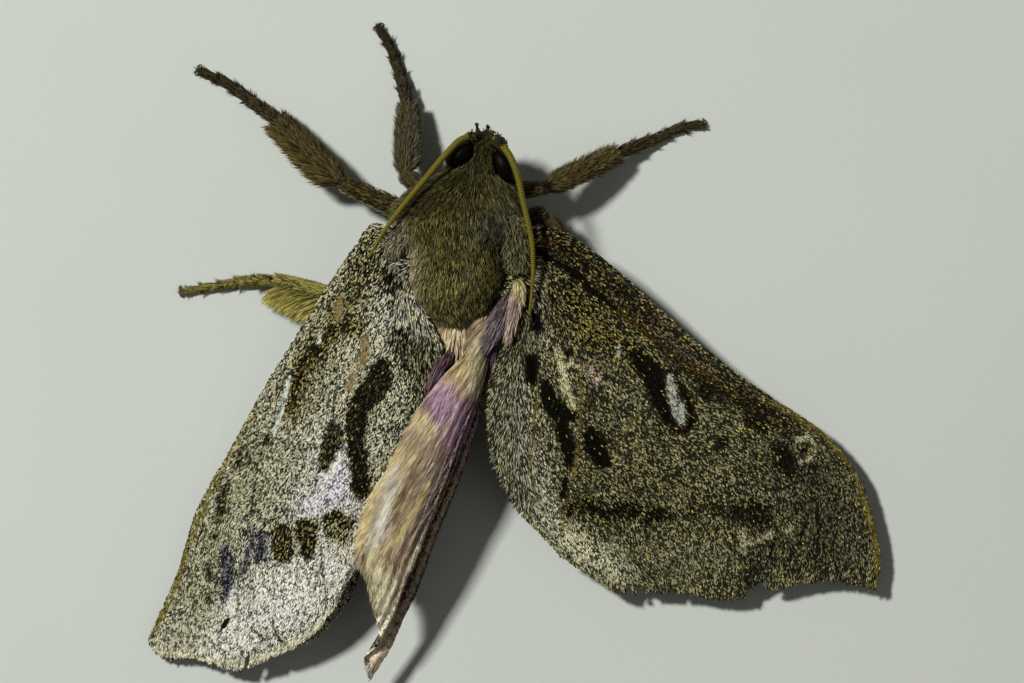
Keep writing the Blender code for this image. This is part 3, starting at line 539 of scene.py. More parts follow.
def built(name, points, faces, tints, patches):
    """One mesh of many blades. Points and tints are blades x vertices x 3."""
    count, each = points.shape[:2]
    whole = (faces[None] + (np.arange(count) * each)[:, None, None]).reshape(-1, 3)
    mesh = bpy.data.meshes.new(name)
    mesh.vertices.add(count * each)
    mesh.vertices.foreach_set("co", ((points + SHIFT) * MM).ravel())
    mesh.loops.add(whole.size)
    mesh.loops.foreach_set("vertex_index", whole.ravel())
    mesh.polygons.add(len(whole))
    mesh.polygons.foreach_set("loop_start", np.arange(len(whole)) * 3)
    mesh.update(calc_edges=True)
    mesh.shade_flat()
    layer = mesh.uv_layers.new(name="OFBake")
    layer.data.foreach_set("uv", patches.reshape(-1, 2)[whole.ravel()].ravel())
    made = bpy.data.objects.new(name, mesh)
    bpy.context.collection.objects.link(made)
    tinted(made, tints.reshape(-1, 3))
    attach(made, "root")
    return made


def unwrapped(across, along):
    """Places on the unwrap of a piece, a little inside its rim."""
    return BAKE_RIM + (1 - 2 * BAKE_RIM) * np.stack([across, along], 1)


def upward(count):
    """The way up, once for each blade."""
    return np.tile((0.0, 0.0, 1.0), (count, 1))


def either(share, first, second, count):
    """Numbers drawn from the first range for this share of them, and from the second for the rest."""
    return np.where(draw.random(count) < share, draw.uniform(*first, count), draw.uniform(*second, count))


def spotted(tints, where, spots, strength):
    """Blends round spots into the tints, each with its middle on the plan, its radius and its colour."""
    for middle, radius, colour in spots:
        near = np.exp(-((where[:, :2] - middle) ** 2).sum(1) / radius ** 2)[:, None] * strength
        tints = tints * (1 - near) + paint(*colour) * near
    return tints


def blades(name, root, tip, facing, width, root_tint, tip_tint, patch, rings=((0.42, 1.0),), bow=0.0):
    """Thin closed blades from root to tip, three sided, with their place on the unwrap as patch.
    Rings are how far along and how wide. The bow lifts the middle of the blade."""
    along = tip - root
    side = unit(np.cross(along, facing)) * (width / 2)[:, None]
    up = unit(np.cross(side, along)) * (width / 2)[:, None]
    middle = (root + tip) / 2 + facing * np.reshape(bow, (-1, 1))
    points, tints, places = [root], [root_tint], [patch + (0, -PATCH)]
    for t, share in rings:
        centre = (1 - t) ** 2 * root + 2 * t * (1 - t) * middle + t ** 2 * tip
        tone = root_tint * (1 - t) ** 1.5 + tip_tint * (1 - (1 - t) ** 1.5)
        for x, z in ((-1, -0.3), (1, -0.3), (0, 1)):
            points.append(centre + side * share * x + up * share * FLATNESS * z)
            tints.append(tone)
            places.append(patch + (PATCH * x, PATCH * (2 * t - 1)))
    points.append(tip)
    tints.append(tip_tint)
    places.append(patch + (0, PATCH))
    faces = [(0, 2, 1), (0, 3, 2), (0, 1, 3)]
    for k in range(len(rings) - 1):
        a = 1 + 3 * k
        for p, q in ((0, 1), (1, 2), (2, 0)):
            faces += [(a + p, a + q, a + q + 3), (a + p, a + q + 3, a + p + 3)]
    last = 1 + 3 * (len(rings) - 1)
    faces += [(last + p, last + q, last + 3) for p, q in ((0, 1), (1, 2), (2, 0))]
    points = np.stack(points, 1)
    faces = np.array(faces)
    if np.linalg.det(points[0][faces] - points[0][0]).sum() < 0:
        faces = faces[:, ::-1]
    return built(name, points, faces, np.stack(tints, 1), np.stack(places, 1))


def wave(points, size, seed=0.0):
    """Smooth noise of about -1..1 at each point, with grains of this many millimetres."""
    return np.array([noise.noise(Vector(p) / size + Vector((seed, 2 * seed, 0))) for p in points]) * 1.6


def hairs(name, surface, t, turn, length, lift, lean, width, root_tint, tip_tint, depth, bow):
    """Hair on a limb, its tips further along it and lifted off it. The lean turns them aside."""
    root = surface(t, turn, -depth)
    step = surface(t + 0.004, turn) - surface(t - 0.004, turn)
    reach = np.linalg.norm(step, axis=1, keepdims=True)
    run = step / reach
    facing = unit(surface(t, turn, 0.1) - surface(t, turn, 0.0))
    side = np.cross(run, facing)
    flow = unit(run + side * lean[:, None])
    # The tip follows the curve of the limb, then rises by its lift
    ahead = np.clip(t + length * (0.008 / reach[:, 0]), 0, 1)
    tip = surface(ahead, turn, 0.0)
    short = length - np.linalg.norm(tip - surface(t, turn), axis=1)
    tip = tip + flow * np.maximum(short, 0)[:, None] + side * (lean * length * 0.7)[:, None]
    tip = tip + facing * lift[:, None]
    tip[:, 2] = np.maximum(tip[:, 2], CLEARANCE)
    root[:, 2] = np.maximum(root[:, 2], CLEARANCE)
    patch = unwrapped((turn / (2 * math.pi)) % 1, t)
    # None grows or hangs over an eye
    clear = np.ones(len(root), bool)
    for middle, angle in EYES.values():
        for spot, rim in ((root, 1.0), ((root + tip) / 2, 0.94), (tip, 0.86)):
            clear &= (eye_reach(spot, middle, angle) > rim) | (spot[:, 2] < middle[2] - 0.5)
    parts = [each[clear] for each in (root, tip, facing, width, root_tint, tip_tint, patch)]
    return blades(name, *parts, bow=bow)


fur = Finish("hair_olive_brown", roughness=0.55, specular=0.15)
fur_finish = fur.shows(
    colour=fur.mixed(0.35 * fur.stepped(fur.noise(2.2), 0.3, 0.7), fur.tint(), paint(30, 24, 12)),
    height=fur.noise(12.0), depth=0.01)


def back_hair(name, surface, count, end, length, lift, width, top_share):
    """Hair on the trunk or head up to this end of it: most of it on top, in clumps of mixed tone."""
    t = draw.uniform(0.0, end, count)
    turn = either(top_share, (-0.15, 1.15), (1.0, 2.0), count) * math.pi
    where = surface(t, turn)
    clump = wave(where, 0.5)
    broad = wave(where, 2.6, 3.0)
    # It fans out from the neck, runs straight down the back and curls round the rear rim
    x, y = where[:, 0] + 5.2, where[:, 1]
    front = np.clip((y - 10.5) / 2.0, 0, 1)
    rim = np.clip((4.6 - y) / 1.2, 0, 1) * np.clip(2.0 - np.abs(x - 0.6) / 1.6, 0, 1)
    lean = front * -0.17 * x + (1 - front) * np.clip(0.11 * x, 0, 0.45)
    lean = lean * (1 - rim) - 1.2 * rim + draw.normal(0, 0.2, count) + 0.35 * wave(where, 1.3, 8.0)
    long = length * draw.uniform(0.7, 1.25, count) * (1 + 0.15 * broad)
    rise = lift * draw.uniform(0.3, 1.25, count) * (1 + 0.5 * clump)
    tone = draw.random(count)[:, None]
    tip_tint = np.where(tone < 0.6, paint(128, 123, 58),
                        np.where(tone < 0.85, paint(96, 82, 44), paint(164, 158, 104)))
    tip_tint = spotted(tip_tint, where, BACK_SPOTS, 0.8)
    dark = np.clip(0.8 + 0.45 * clump + 0.25 * broad, 0.25, 1.4)
    dark *= np.interp(where[:, 1], SHADE_PLACES, SHADES)
    tip_tint = tip_tint * (dark * either(0.42, (0.1, 0.4), (0.85, 1.7), count))[:, None]
    root_tint = HAIR_ROOT * draw.uniform(0.4, 1.1, (count, 1))
    made = hairs(name, surface, t, turn, long, rise, lean, width * draw.uniform(0.8, 1.3, count),
                 root_tint, tip_tint, depth=0.25, bow=0.08)
    made.data.materials.append(fur_finish)


trunk_back = limb(upright(TRUNK[::-1]), (1.0, 0.0, 0.0))
head_back = limb(upright(HEAD[::-1]), HEAD_ACROSS)
back_hair("hair_back", trunk_back, 32500, 1.0, length=0.85, lift=0.32, width=0.09, top_share=0.88)
back_hair("hair_head", head_back, 8500, 0.97, length=0.55, lift=0.24, width=0.085, top_share=0.85)
# Messy brown tufts stand out over the face and along the palps
count = FACE_HAIRS
x, y = draw.uniform(-3.9, -0.9, count), draw.uniform(18.4, 19.7, count)
root = np.stack([x, y - 0.55 * np.abs(x + 2.6) ** 1.4, 8.9 - 1.1 * (y - 18.4) - 0.35 * np.abs(x + 2.6)], 1)
heading = np.stack([0.4 * (x + 2.6) + draw.normal(0, 0.6, count), 0.4 + draw.normal(0, 0.5, count),
                    0.5 + draw.normal(0, 0.3, count)], 1)
long = draw.uniform(0.25, 0.5, count)
for points in PALPS.values():
    root = np.concatenate([root, curve(points)(draw.uniform(0.1, 0.95, PALP_HAIRS))])
    heading = np.concatenate([heading, draw.normal(0, 0.45, (PALP_HAIRS, 3)) + (0.0, 0.7, 0.1)])
    long = np.concatenate([long, draw.uniform(0.16, 0.34, PALP_HAIRS)])
# and in a hump over the root of each feeler
for hump in FEELER_HUMPS:
    root = np.concatenate([root, hump + draw.normal(0, (0.2, 0.16, 0.12), (HUMP_HAIRS, 3))])
    heading = np.concatenate([heading, draw.normal(0, 0.5, (HUMP_HAIRS, 3)) + (0.0, 0.3, 0.5)])
    long = np.concatenate([long, draw.uniform(0.14, 0.3, HUMP_HAIRS)])
count = len(root)
tone = draw.uniform(0.15, 1.3, (count, 1))
made = blades("hair_face", root, root + unit(heading) * long[:, None], upward(count),
              0.12 * draw.uniform(0.7, 1.3, count), HAIR_ROOT * np.ones((count, 1)),
              paint(84, 76, 42) * tone,
              np.stack([0.02 + 0.2 * draw.random(count), 0.9 + 0.08 * draw.random(count)], 1), bow=0.05)
made.data.materials.append(fur_finish)

# Hair of the legs. Shins carry a thick brown brush along both sides, feet have dark scales in five
# saw-toothed whorls, and the hind shins a long golden brush on one side.
LEG_TONES = {
    "front_left": (106, 97, 60), "middle_left": (112, 98, 52), "hind_left": (190, 178, 90),
    "front_right": (118, 102, 54), "middle_right": (118, 100, 58), "hind_right": (146, 132, 62),
}
# Hair of a part of a leg: count, length, lift and width
THIGH_HAIR, FOOT_HAIR = (1300, 0.7, 0.16, 0.09), (1700, 0.5, 0.14, 0.11)
SHIN_HAIR, HIND_SHIN_HAIR = (3000, 0.95, 0.34, 0.09), (3000, 0.75, 0.12, 0.09)
# Legs under the wings have only this share of it
HIDDEN_LEGS, HIDDEN_SHARE = ("middle_right", "hind_right"), 0.6
LEG_ROOT, FAN_ROOT, BRUSH_ROOT = paint(28, 22, 11), paint(24, 19, 10), paint(34, 27, 12)
# The painted highlight on the middle left thigh, a pale line: the angle that it lies at, and its half
# width
HIGHLIGHT_LINE, HIGHLIGHT_HALF = 2.85, 0.28
FAN_HAIRS, FAN_WIDTH = 110, 0.08
# Which side of the shin a brush stands on, then its count, length, lean to the foot and tone
BRUSHES = {
    "hind_left": (-1, 2300, 3.1, 0.62, (208, 197, 106)),
    "hind_right": (1, 500, 2.6, 0.62, (146, 132, 62)),
    "middle_left": (-1, 1500, 2.1, 1.5, (112, 98, 52)),
    "front_left": (1, 1100, 1.4, 2.1, (98, 92, 66)),
}
BRUSH_WIDTH, BRUSH_RINGS = 0.09, ((0.3, 1.0), (0.7, 0.7))
for name in LEGS:
    tone = paint(*LEG_TONES[name])
    hind = name.startswith("hind")
    for part, surface, (count, length, lift, width) in (
        ("thigh", thigh_side[name], THIGH_HAIR),
        ("shin", shin_side[name], HIND_SHIN_HAIR if hind else SHIN_HAIR),
        ("foot", foot_side[name], FOOT_HAIR),
    ):
        count = int(count * (HIDDEN_SHARE if name in HIDDEN_LEGS else 1.0))
        t = draw.uniform(0.0, 0.96, count)
        turn = draw.uniform(0, 2 * math.pi, count)
        where = surface(t, turn)
        flare = np.abs(np.cos(turn)) ** 2
        long = length * draw.uniform(0.65, 1.25, count)
        rise = lift * draw.uniform(0.3, 1.3, count) * (0.6 + 0.8 * flare)
        bright = either(0.45, (0.12, 0.4), (0.7, 1.4), count)
        if part == "foot":
            whorl = (t * FOOT_JOINTS) % 1
            rise = rise * (0.3 + 2.6 * whorl ** 2)
            tip_tint = tone * ((0.8 if hind else 0.45) * bright)[:, None]
        else:
            long *= 1.15 - 0.5 * t
            tip_tint = tone * (bright * (0.95 + 0.2 * wave(where, 0.4)))[:, None]
        if (name, part) == ("middle_left", "thigh"):
            # A painted highlight, a pale line, runs down its rear edge
            pale = (np.abs(turn - HIGHLIGHT_LINE) < HIGHLIGHT_HALF)[:, None]
            tip_tint = np.where(pale, paint(190, 186, 140), tip_tint * (1.1, 1.15, 0.7))
        made = hairs(f"hair_{part}_{name}", surface, t, turn, long, rise, draw.normal(0, 0.16, count),
                     width * draw.uniform(0.7, 1.3, count), LEG_ROOT * draw.uniform(0.5, 1.3, (count, 1)),
                     tip_tint, depth=0.08, bow=0.05)
        made.data.materials.append(fur_finish)
    # A fan of short hair round the claws
    count = FAN_HAIRS
    tip, back = core(foot_side[name], 1.0), core(foot_side[name], 0.9)
    angle = math.atan2(tip[1] - back[1], tip[0] - back[0]) + draw.normal(0, 0.75, count)
    root = tip + (back - tip) * draw.uniform(-0.2, 1.3, (count, 1)) + draw.normal(0, 0.07, (count, 3))
    root = root + (0, 0, 0.1)
    heading = np.stack([np.cos(angle), np.sin(angle), draw.uniform(-0.1, 0.35, count)], 1)
    end = root + heading * draw.uniform(0.3, 0.62, (count, 1))
    root[:, 2] = np.maximum(root[:, 2], 0.1)
    end[:, 2] = np.maximum(end[:, 2], 0.05)
    made = blades(f"hair_fan_{name}", root, end, upward(count), np.full(count, FAN_WIDTH),
                  FAN_ROOT * np.ones((count, 1)), tone * draw.uniform(0.12, 0.45, (count, 1)),
                  np.full((count, 2), 0.95) - BAKE_RIM * draw.random((count, 2)))
    made.data.materials.append(fur_finish)
    if name in BRUSHES:
        side, count, length, reach, tone = BRUSHES[name]
        surface = shin_side[name]
        t = draw.uniform(0.04, 0.9, count)
        turn = draw.normal(0.0, 0.45, count) + (0 if side > 0 else math.pi)
        where = surface(t, turn)
        run = unit(surface(t + 0.01, turn) - surface(t - 0.01, turn))
        facing = unit(surface(t, turn, 0.1) - where)
        heading = unit(run * reach + facing)
        # It is fullest towards the knee and closes in on the ankle
        long = (length * (1.1 - 0.45 * t) * draw.uniform(0.55, 1.1, count))[:, None]
        tip = where + heading * long + draw.normal(0, 0.1, (count, 3))
        tip[:, 2] = np.maximum(tip[:, 2], 0.1)
        bright = either(0.35, (0.15, 0.5), (0.7, 1.4), count)
        made = blades(f"hair_brush_{name}", where - facing * 0.2, tip, upward(count),
                      np.full(count, BRUSH_WIDTH), BRUSH_ROOT * draw.uniform(0.6, 1.5, (count, 1)),
                      paint(*tone) * bright[:, None] * 1.1, unwrapped((turn / (2 * math.pi)) % 1, t),
                      BRUSH_RINGS, 0.12)
        made.data.materials.append(fur_finish)

# Forewings. Each is one stiff membrane with raised veins, covered with flat scales that lie from
# the root to the margin like tiles: olive brown ones mixed with cream and gold, black in the marks.
FOREWING_RIGHT = {
    "costa": [
        (-0.2, 10.3, 7.7), (2.6, 11.2, 7.4), (5.1, 10.2, 6.8), (8.6, 7.6, 6.0), (12.2, 4.4, 5.3),
        (16.1, 0.9, 4.6), (19.9, -2.1, 4.0), (23.6, -4.6, 3.4), (27.5, -7.3, 2.8),
        (30.6, -11.0, 2.3), (32.1, -15.3, 2.0), (32.7, -18.8, 1.9), (32.4, -21.1, 1.9)],
    "outer": [
        (32.4, -21.1, 1.9), (29.7, -20.4, 2.1), (26.6, -20.3, 2.2), (22.7, -21.2, 2.2),
        (19.2, -22.0, 2.2), (15.3, -21.5, 2.3), (12.1, -21.3, 2.4), (9.1, -21.4, 2.6),
        (6.7, -20.0, 2.9), (4.1, -18.2, 3.3)],
    "inner": [
        (-1.6, 5.4, 8.9), (0.2, 2.8, 9.1), (-1.2, -0.1, 9.0), (-2.2, -3.3, 8.7),
        (-2.2, -7.1, 7.9), (-1.3, -11.1, 6.6), (1.0, -14.8, 4.9), (4.1, -18.2, 3.3)],
}
FOREWING_LEFT = {
    "costa": [
        (-9.4, 10.2, 8.1), (-12.6, 11.4, 7.3), (-14.6, 9.1, 6.0), (-16.2, 6.8, 4.9),
        (-19.2, 2.2, 3.4), (-22.5, -3.1, 2.3), (-25.5, -8.5, 1.7), (-28.6, -14.1, 1.4),
        (-30.4, -19.8, 1.2), (-32.4, -24.4, 1.0), (-32.9, -25.6, 1.0)],
    "outer": [
        (-32.9, -25.6, 1.0), (-31.8, -27.1, 1.2), (-28.7, -27.3, 1.7), (-25.1, -28.3, 2.3),
        (-22.1, -27.4, 2.9), (-18.5, -25.4, 3.9), (-15.7, -21.9, 5.3), (-14.2, -18.8, 6.6)],
    "inner": [
        (-8.8, 5.3, 8.6), (-7.6, 2.4, 9.2), (-6.8, 0.5, 9.5), (-6.6, -1.9, 9.4),
        (-7.0, -5.3, 9.1), (-8.2, -8.9, 8.8), (-10.0, -12.5, 8.3), (-12.2, -16.1, 7.5),
        (-14.2, -18.8, 6.6)],
}
# Veins: where each reaches the outer margin, from the costa to the inner edge, and where it rises
FOREWING_VEINS = [(0.05, 0.0), (0.17, 0.0), (0.29, 0.3), (0.41, 0.4), (0.53, 0.05), (0.65, 0.4),
                  (0.77, 0.0), (0.89, 0.0)]
# Paint of a wing, laid on in turn: softness of its edge, dark and light scales, the share of light
# and of gold ones, then the strokes, each a line of places with half widths
PAINT_RIGHT = [
    (9.0, (38, 36, 24), (176, 171, 122), 0.23, 0.012, [[(12.06, -4.41, 36)]]),
    (3.0, (50, 49, 36), (206, 203, 170), 0.4, 0.0,
     [[(-0.36, -2.61, 1.44), (0.36, -8.91, 2.34), (2.7, -13.86, 1.8)]]),
    (1.6, (64, 63, 47), (214, 213, 178), 0.5, 0.01, [[(2.16, -13.86, 1.08), (3.96, -16.11, 1.08)]]),
    (2.0, (50, 48, 35), (156, 154, 116), 0.36, 0.02,
     [[(7.56, -18.99, 1.8), (14.76, -19.26, 1.8), (18.36, -18.81, 0.9)]]),
    (1.4, (64, 62, 44), (232, 229, 188), 0.6, 0.01,
     [[(4.68, -17.01, 0.9), (6.66, -18.09, 1.26), (9.18, -19.71, 0.9)]]),
    (3.0, (27, 25, 16), (122, 117, 84), 0.28, 0.01,
     [[(24.66, -8.91, 2.7), (28.71, -17.01, 3.96), (22.86, -17.46, 2.16)]]),
    (1.2, (18, 15, 9), (138, 120, 80), 0.14, 0.03,
     [[(2.88, 9.99, 0.99), (5.4, 8.55, 1.08), (8.64, 5.67, 1.08), (12.96, 1.53, 0.9),
       (18.36, -2.79, 0.72), (24.66, -6.66, 0.54)]]),
    (1.0, (22, 19, 11), (96, 85, 52), 0.15, 0.01,
     [[(13.68, 0.09, 0.81), (18, -3.33, 0.9), (22.86, -6.03, 0.72)]]),
    (0.7, (44, 37, 30), (146, 130, 106), 0.25, 0.01,
     [[(12.24, 1.89, 0.27), (14.76, -0.09, 0.36), (17.64, -2.25, 0.27)]]),
    (1.2, (44, 42, 32), (186, 180, 152), 0.42, 0.0,
     [[(1.44, 8.01, 0.63), (1.8, 4.59, 0.81), (2.34, 0.54, 0.72)]]),
    (1.6, (13, 12, 7), (166, 152, 86), 0.19, 0.06,
     [[(4.68, 5.31, 1.44), (6.66, 2.34, 1.8), (10.08, 0.27, 1.08)]]),
    (0.8, (24, 21, 14), (150, 138, 96), 0.24, 0.03, [[(3.6, 4.59, 0.72), (3.96, 1.44, 0.72)]]),
    (0.25, (38, 28, 12), (92, 70, 28), 0.3, 0.02,
     [[(3.6, 8.28, 0.14), (6.3, 6.03, 0.27), (8.64, 4.05, 0.36), (11.88, 1.35, 0.27),
       (15.66, -1.35, 0.23), (20.16, -4.23, 0.18)]]),
    (0.25, (8, 7, 5), (60, 50, 24), 0.03, 0.01,
     [[(2.16, 8.73, 0.36), (3.24, 8.19, 0.31), (5.04, 7.11, 0.31), (7.2, 5.13, 0.36), (9, 3.69, 0.23)],
      [(1.8, 3.15, 0.45), (1.89, 2.25, 0.54)], [(1.35, -0.81, 0.58), (1.44, -2.25, 0.72)]]),
    (0.22, (9, 9, 6), (120, 100, 44), 0.02, 0.015,
     [[(2.7, -2.97, 0.45), (2.97, -4.41, 0.81), (3.87, -5.49, 0.85), (4.95, -5.76, 0.63)],
      [(4.14, -6.93, 0.67), (4.59, -8.55, 0.63), (4.77, -9.99, 0.4)],
      [(4.32, -11.43, 0.32), (4.23, -12.87, 0.36)],
      [(6.66, -7.47, 0.72), (7.2, -8.73, 1.03), (7.74, -9.81, 0.72)],
      [(3.24, 0.09, 0.36), (4.68, -0.27, 0.36)]]),
    (0.3, (9, 9, 6), (150, 116, 44), 0.02, 0.025,
     [[(10.98, -0.63, 0.81), (12.06, -1.89, 1.08), (12.6, -2.97, 0.99)],
      [(12.24, -2.43, 0.9), (12.87, -3.87, 1.08), (13.5, -5.49, 0.77), (14.49, -7.02, 0.45)],
      [(13.68, -2.25, 0.63), (14.58, -3.51, 0.54), (15.48, -4.59, 0.36), (15.75, -6.21, 0.36),
       (15.12, -7.2, 0.27)]]),
    (0.5, (12, 11, 7), (110, 98, 56), 0.1, 0.02, [[(16.65, -3.15, 0.36), (17.19, -4.05, 0.45)]]),
    (0.35, (14, 13, 8), (98, 88, 52), 0.07, 0.03,
     [[(23.49, -8.73, 0.67), (24.12, -9.81, 0.85), (24.57, -10.8, 0.58)],
      [(21.24, -6.39, 0.63), (22.14, -6.93, 0.45)], [(18.36, -8.19, 0.54)], [(16.92, -3.78, 0.54)],
      [(25.92, -8.91, 0.45)]]),
    (0.35, (12, 12, 8), (150, 138, 84), 0.09, 0.04,
     [[(4.86, -14.22, 0.67), (6.03, -13.77, 0.77), (7.29, -14.13, 0.72)],
      [(8.28, -14.76, 0.67), (9.36, -14.22, 0.81), (10.53, -14.22, 0.72)],
      [(11.79, -15.12, 0.58), (12.6, -14.58, 0.72), (13.5, -14.67, 0.63)]]),
    (0.6, (15, 14, 9), (122, 112, 68), 0.11, 0.03,
     [[(15.66, -14.31, 0.36), (17.1, -13.59, 0.36), (18.54, -14.49, 0.45)],
      [(19.62, -14.49, 0.81), (21.06, -14.49, 1.35), (22.32, -14.85, 0.9)]]),
    (0.7, (22, 20, 13), (100, 94, 62), 0.12, 0.02,
     [[(21.24, -19.53, 0.72), (20.7, -20.79, 0.54)], [(6.66, -4.41, 0.45)], [(26.64, -10.71, 0.45)]]),
    (0.35, (96, 90, 66), (214, 208, 164), 0.8, 0.02,
     [[(3.6, 0.09, 0.27), (4.14, -1.35, 0.36), (4.32, -2.97, 0.36), (5.13, -4.95, 0.27)],
      [(4.77, -0.99, 0.23), (5.67, -1.35, 0.22)]]),
    (0.5, (84, 70, 58), (196, 172, 154), 0.6, 0.02, [[(6.48, -1.53, 0.31), (7.2, -2.61, 0.36)]]),
    (0.25, (92, 88, 66), (186, 184, 146), 0.75, 0.0,
     [[(20.25, -16.29, 0.31), (20.43, -17.73, 0.27)],
      [(20.52, -17.37, 0.18), (21.96, -16.83, 0.14), (23.04, -16.38, 0.27)],
      [(24.3, -16.11, 0.18), (24.84, -15.75, 0.14)], [(25.29, -8.01, 0.18), (26.1, -7.74, 0.27),
       (26.82, -8.37, 0.23), (26.55, -9.45, 0.18), (25.56, -9.99, 0.14)]]),
    (0.2, (66, 68, 56), (182, 188, 172), 0.72, 0.0,
     [[(13.77, -2.25, 0.27), (13.9, -3.69, 0.5), (14.22, -4.59, 0.5), (14.54, -5.49, 0.63),
       (14.76, -6.39, 0.31)], [(9.09, 0.45, 0.18), (9.18, -0.27, 0.22)]]),
    (0.3, (70, 48, 16), (120, 88, 34), 0.5, 0.0, [[(2.16, 9.72, 0.22), (2.88, 9.54, 0.16)]]),
    (0.07, (70, 60, 28), (122, 106, 54), 0.5, 0.0,
     [[(2.07, -1.44, 0.08), (1.75, -4.77, 0.11), (1.48, -8.1, 0.11), (1.17, -10.89, 0.08)],
      [(5.85, -0.9, 0.09), (5.85, -5.04, 0.12), (5.4, -9.72, 0.13), (4.77, -12.24, 0.13),
       (3.96, -16.56, 0.11)], [(10.98, -5.58, 0.08), (9.54, -7.47, 0.09), (9, -8.19, 0.07)],
      [(10.71, -8.1, 0.07), (10.71, -12.42, 0.08)]]),
    (0.12, (12, 11, 7), (50, 46, 30), 0.1, 0.0,
     [[(26.91, -13.41, 0.07), (27.18, -16.11, 0.09), (27, -18.81, 0.07)],
      [(26.1, -15.21, 0.09), (25.2, -17.46, 0.11), (24.48, -18.81, 0.07)],
      [(23.4, -15.93, 0.09), (22.86, -18.09, 0.13), (22.14, -19.89, 0.09)],
      [(7.2, -16.65, 0.06), (6.84, -18.81, 0.06)],
      [(10.44, -18.81, 0.07), (12.06, -19.98, 0.08), (13.68, -19.35, 0.07), (14.4, -18.45, 0.05)]]),
    (0.25, (84, 76, 30), (132, 122, 58), 0.4, 0.02,
     [[(21.96, -4.23, 0.11), (24.66, -5.49, 0.18), (27.63, -7.47, 0.25), (30.51, -10.71, 0.29),
       (32.22, -16.56, 0.31), (32.58, -21.06, 0.31)]]),
]
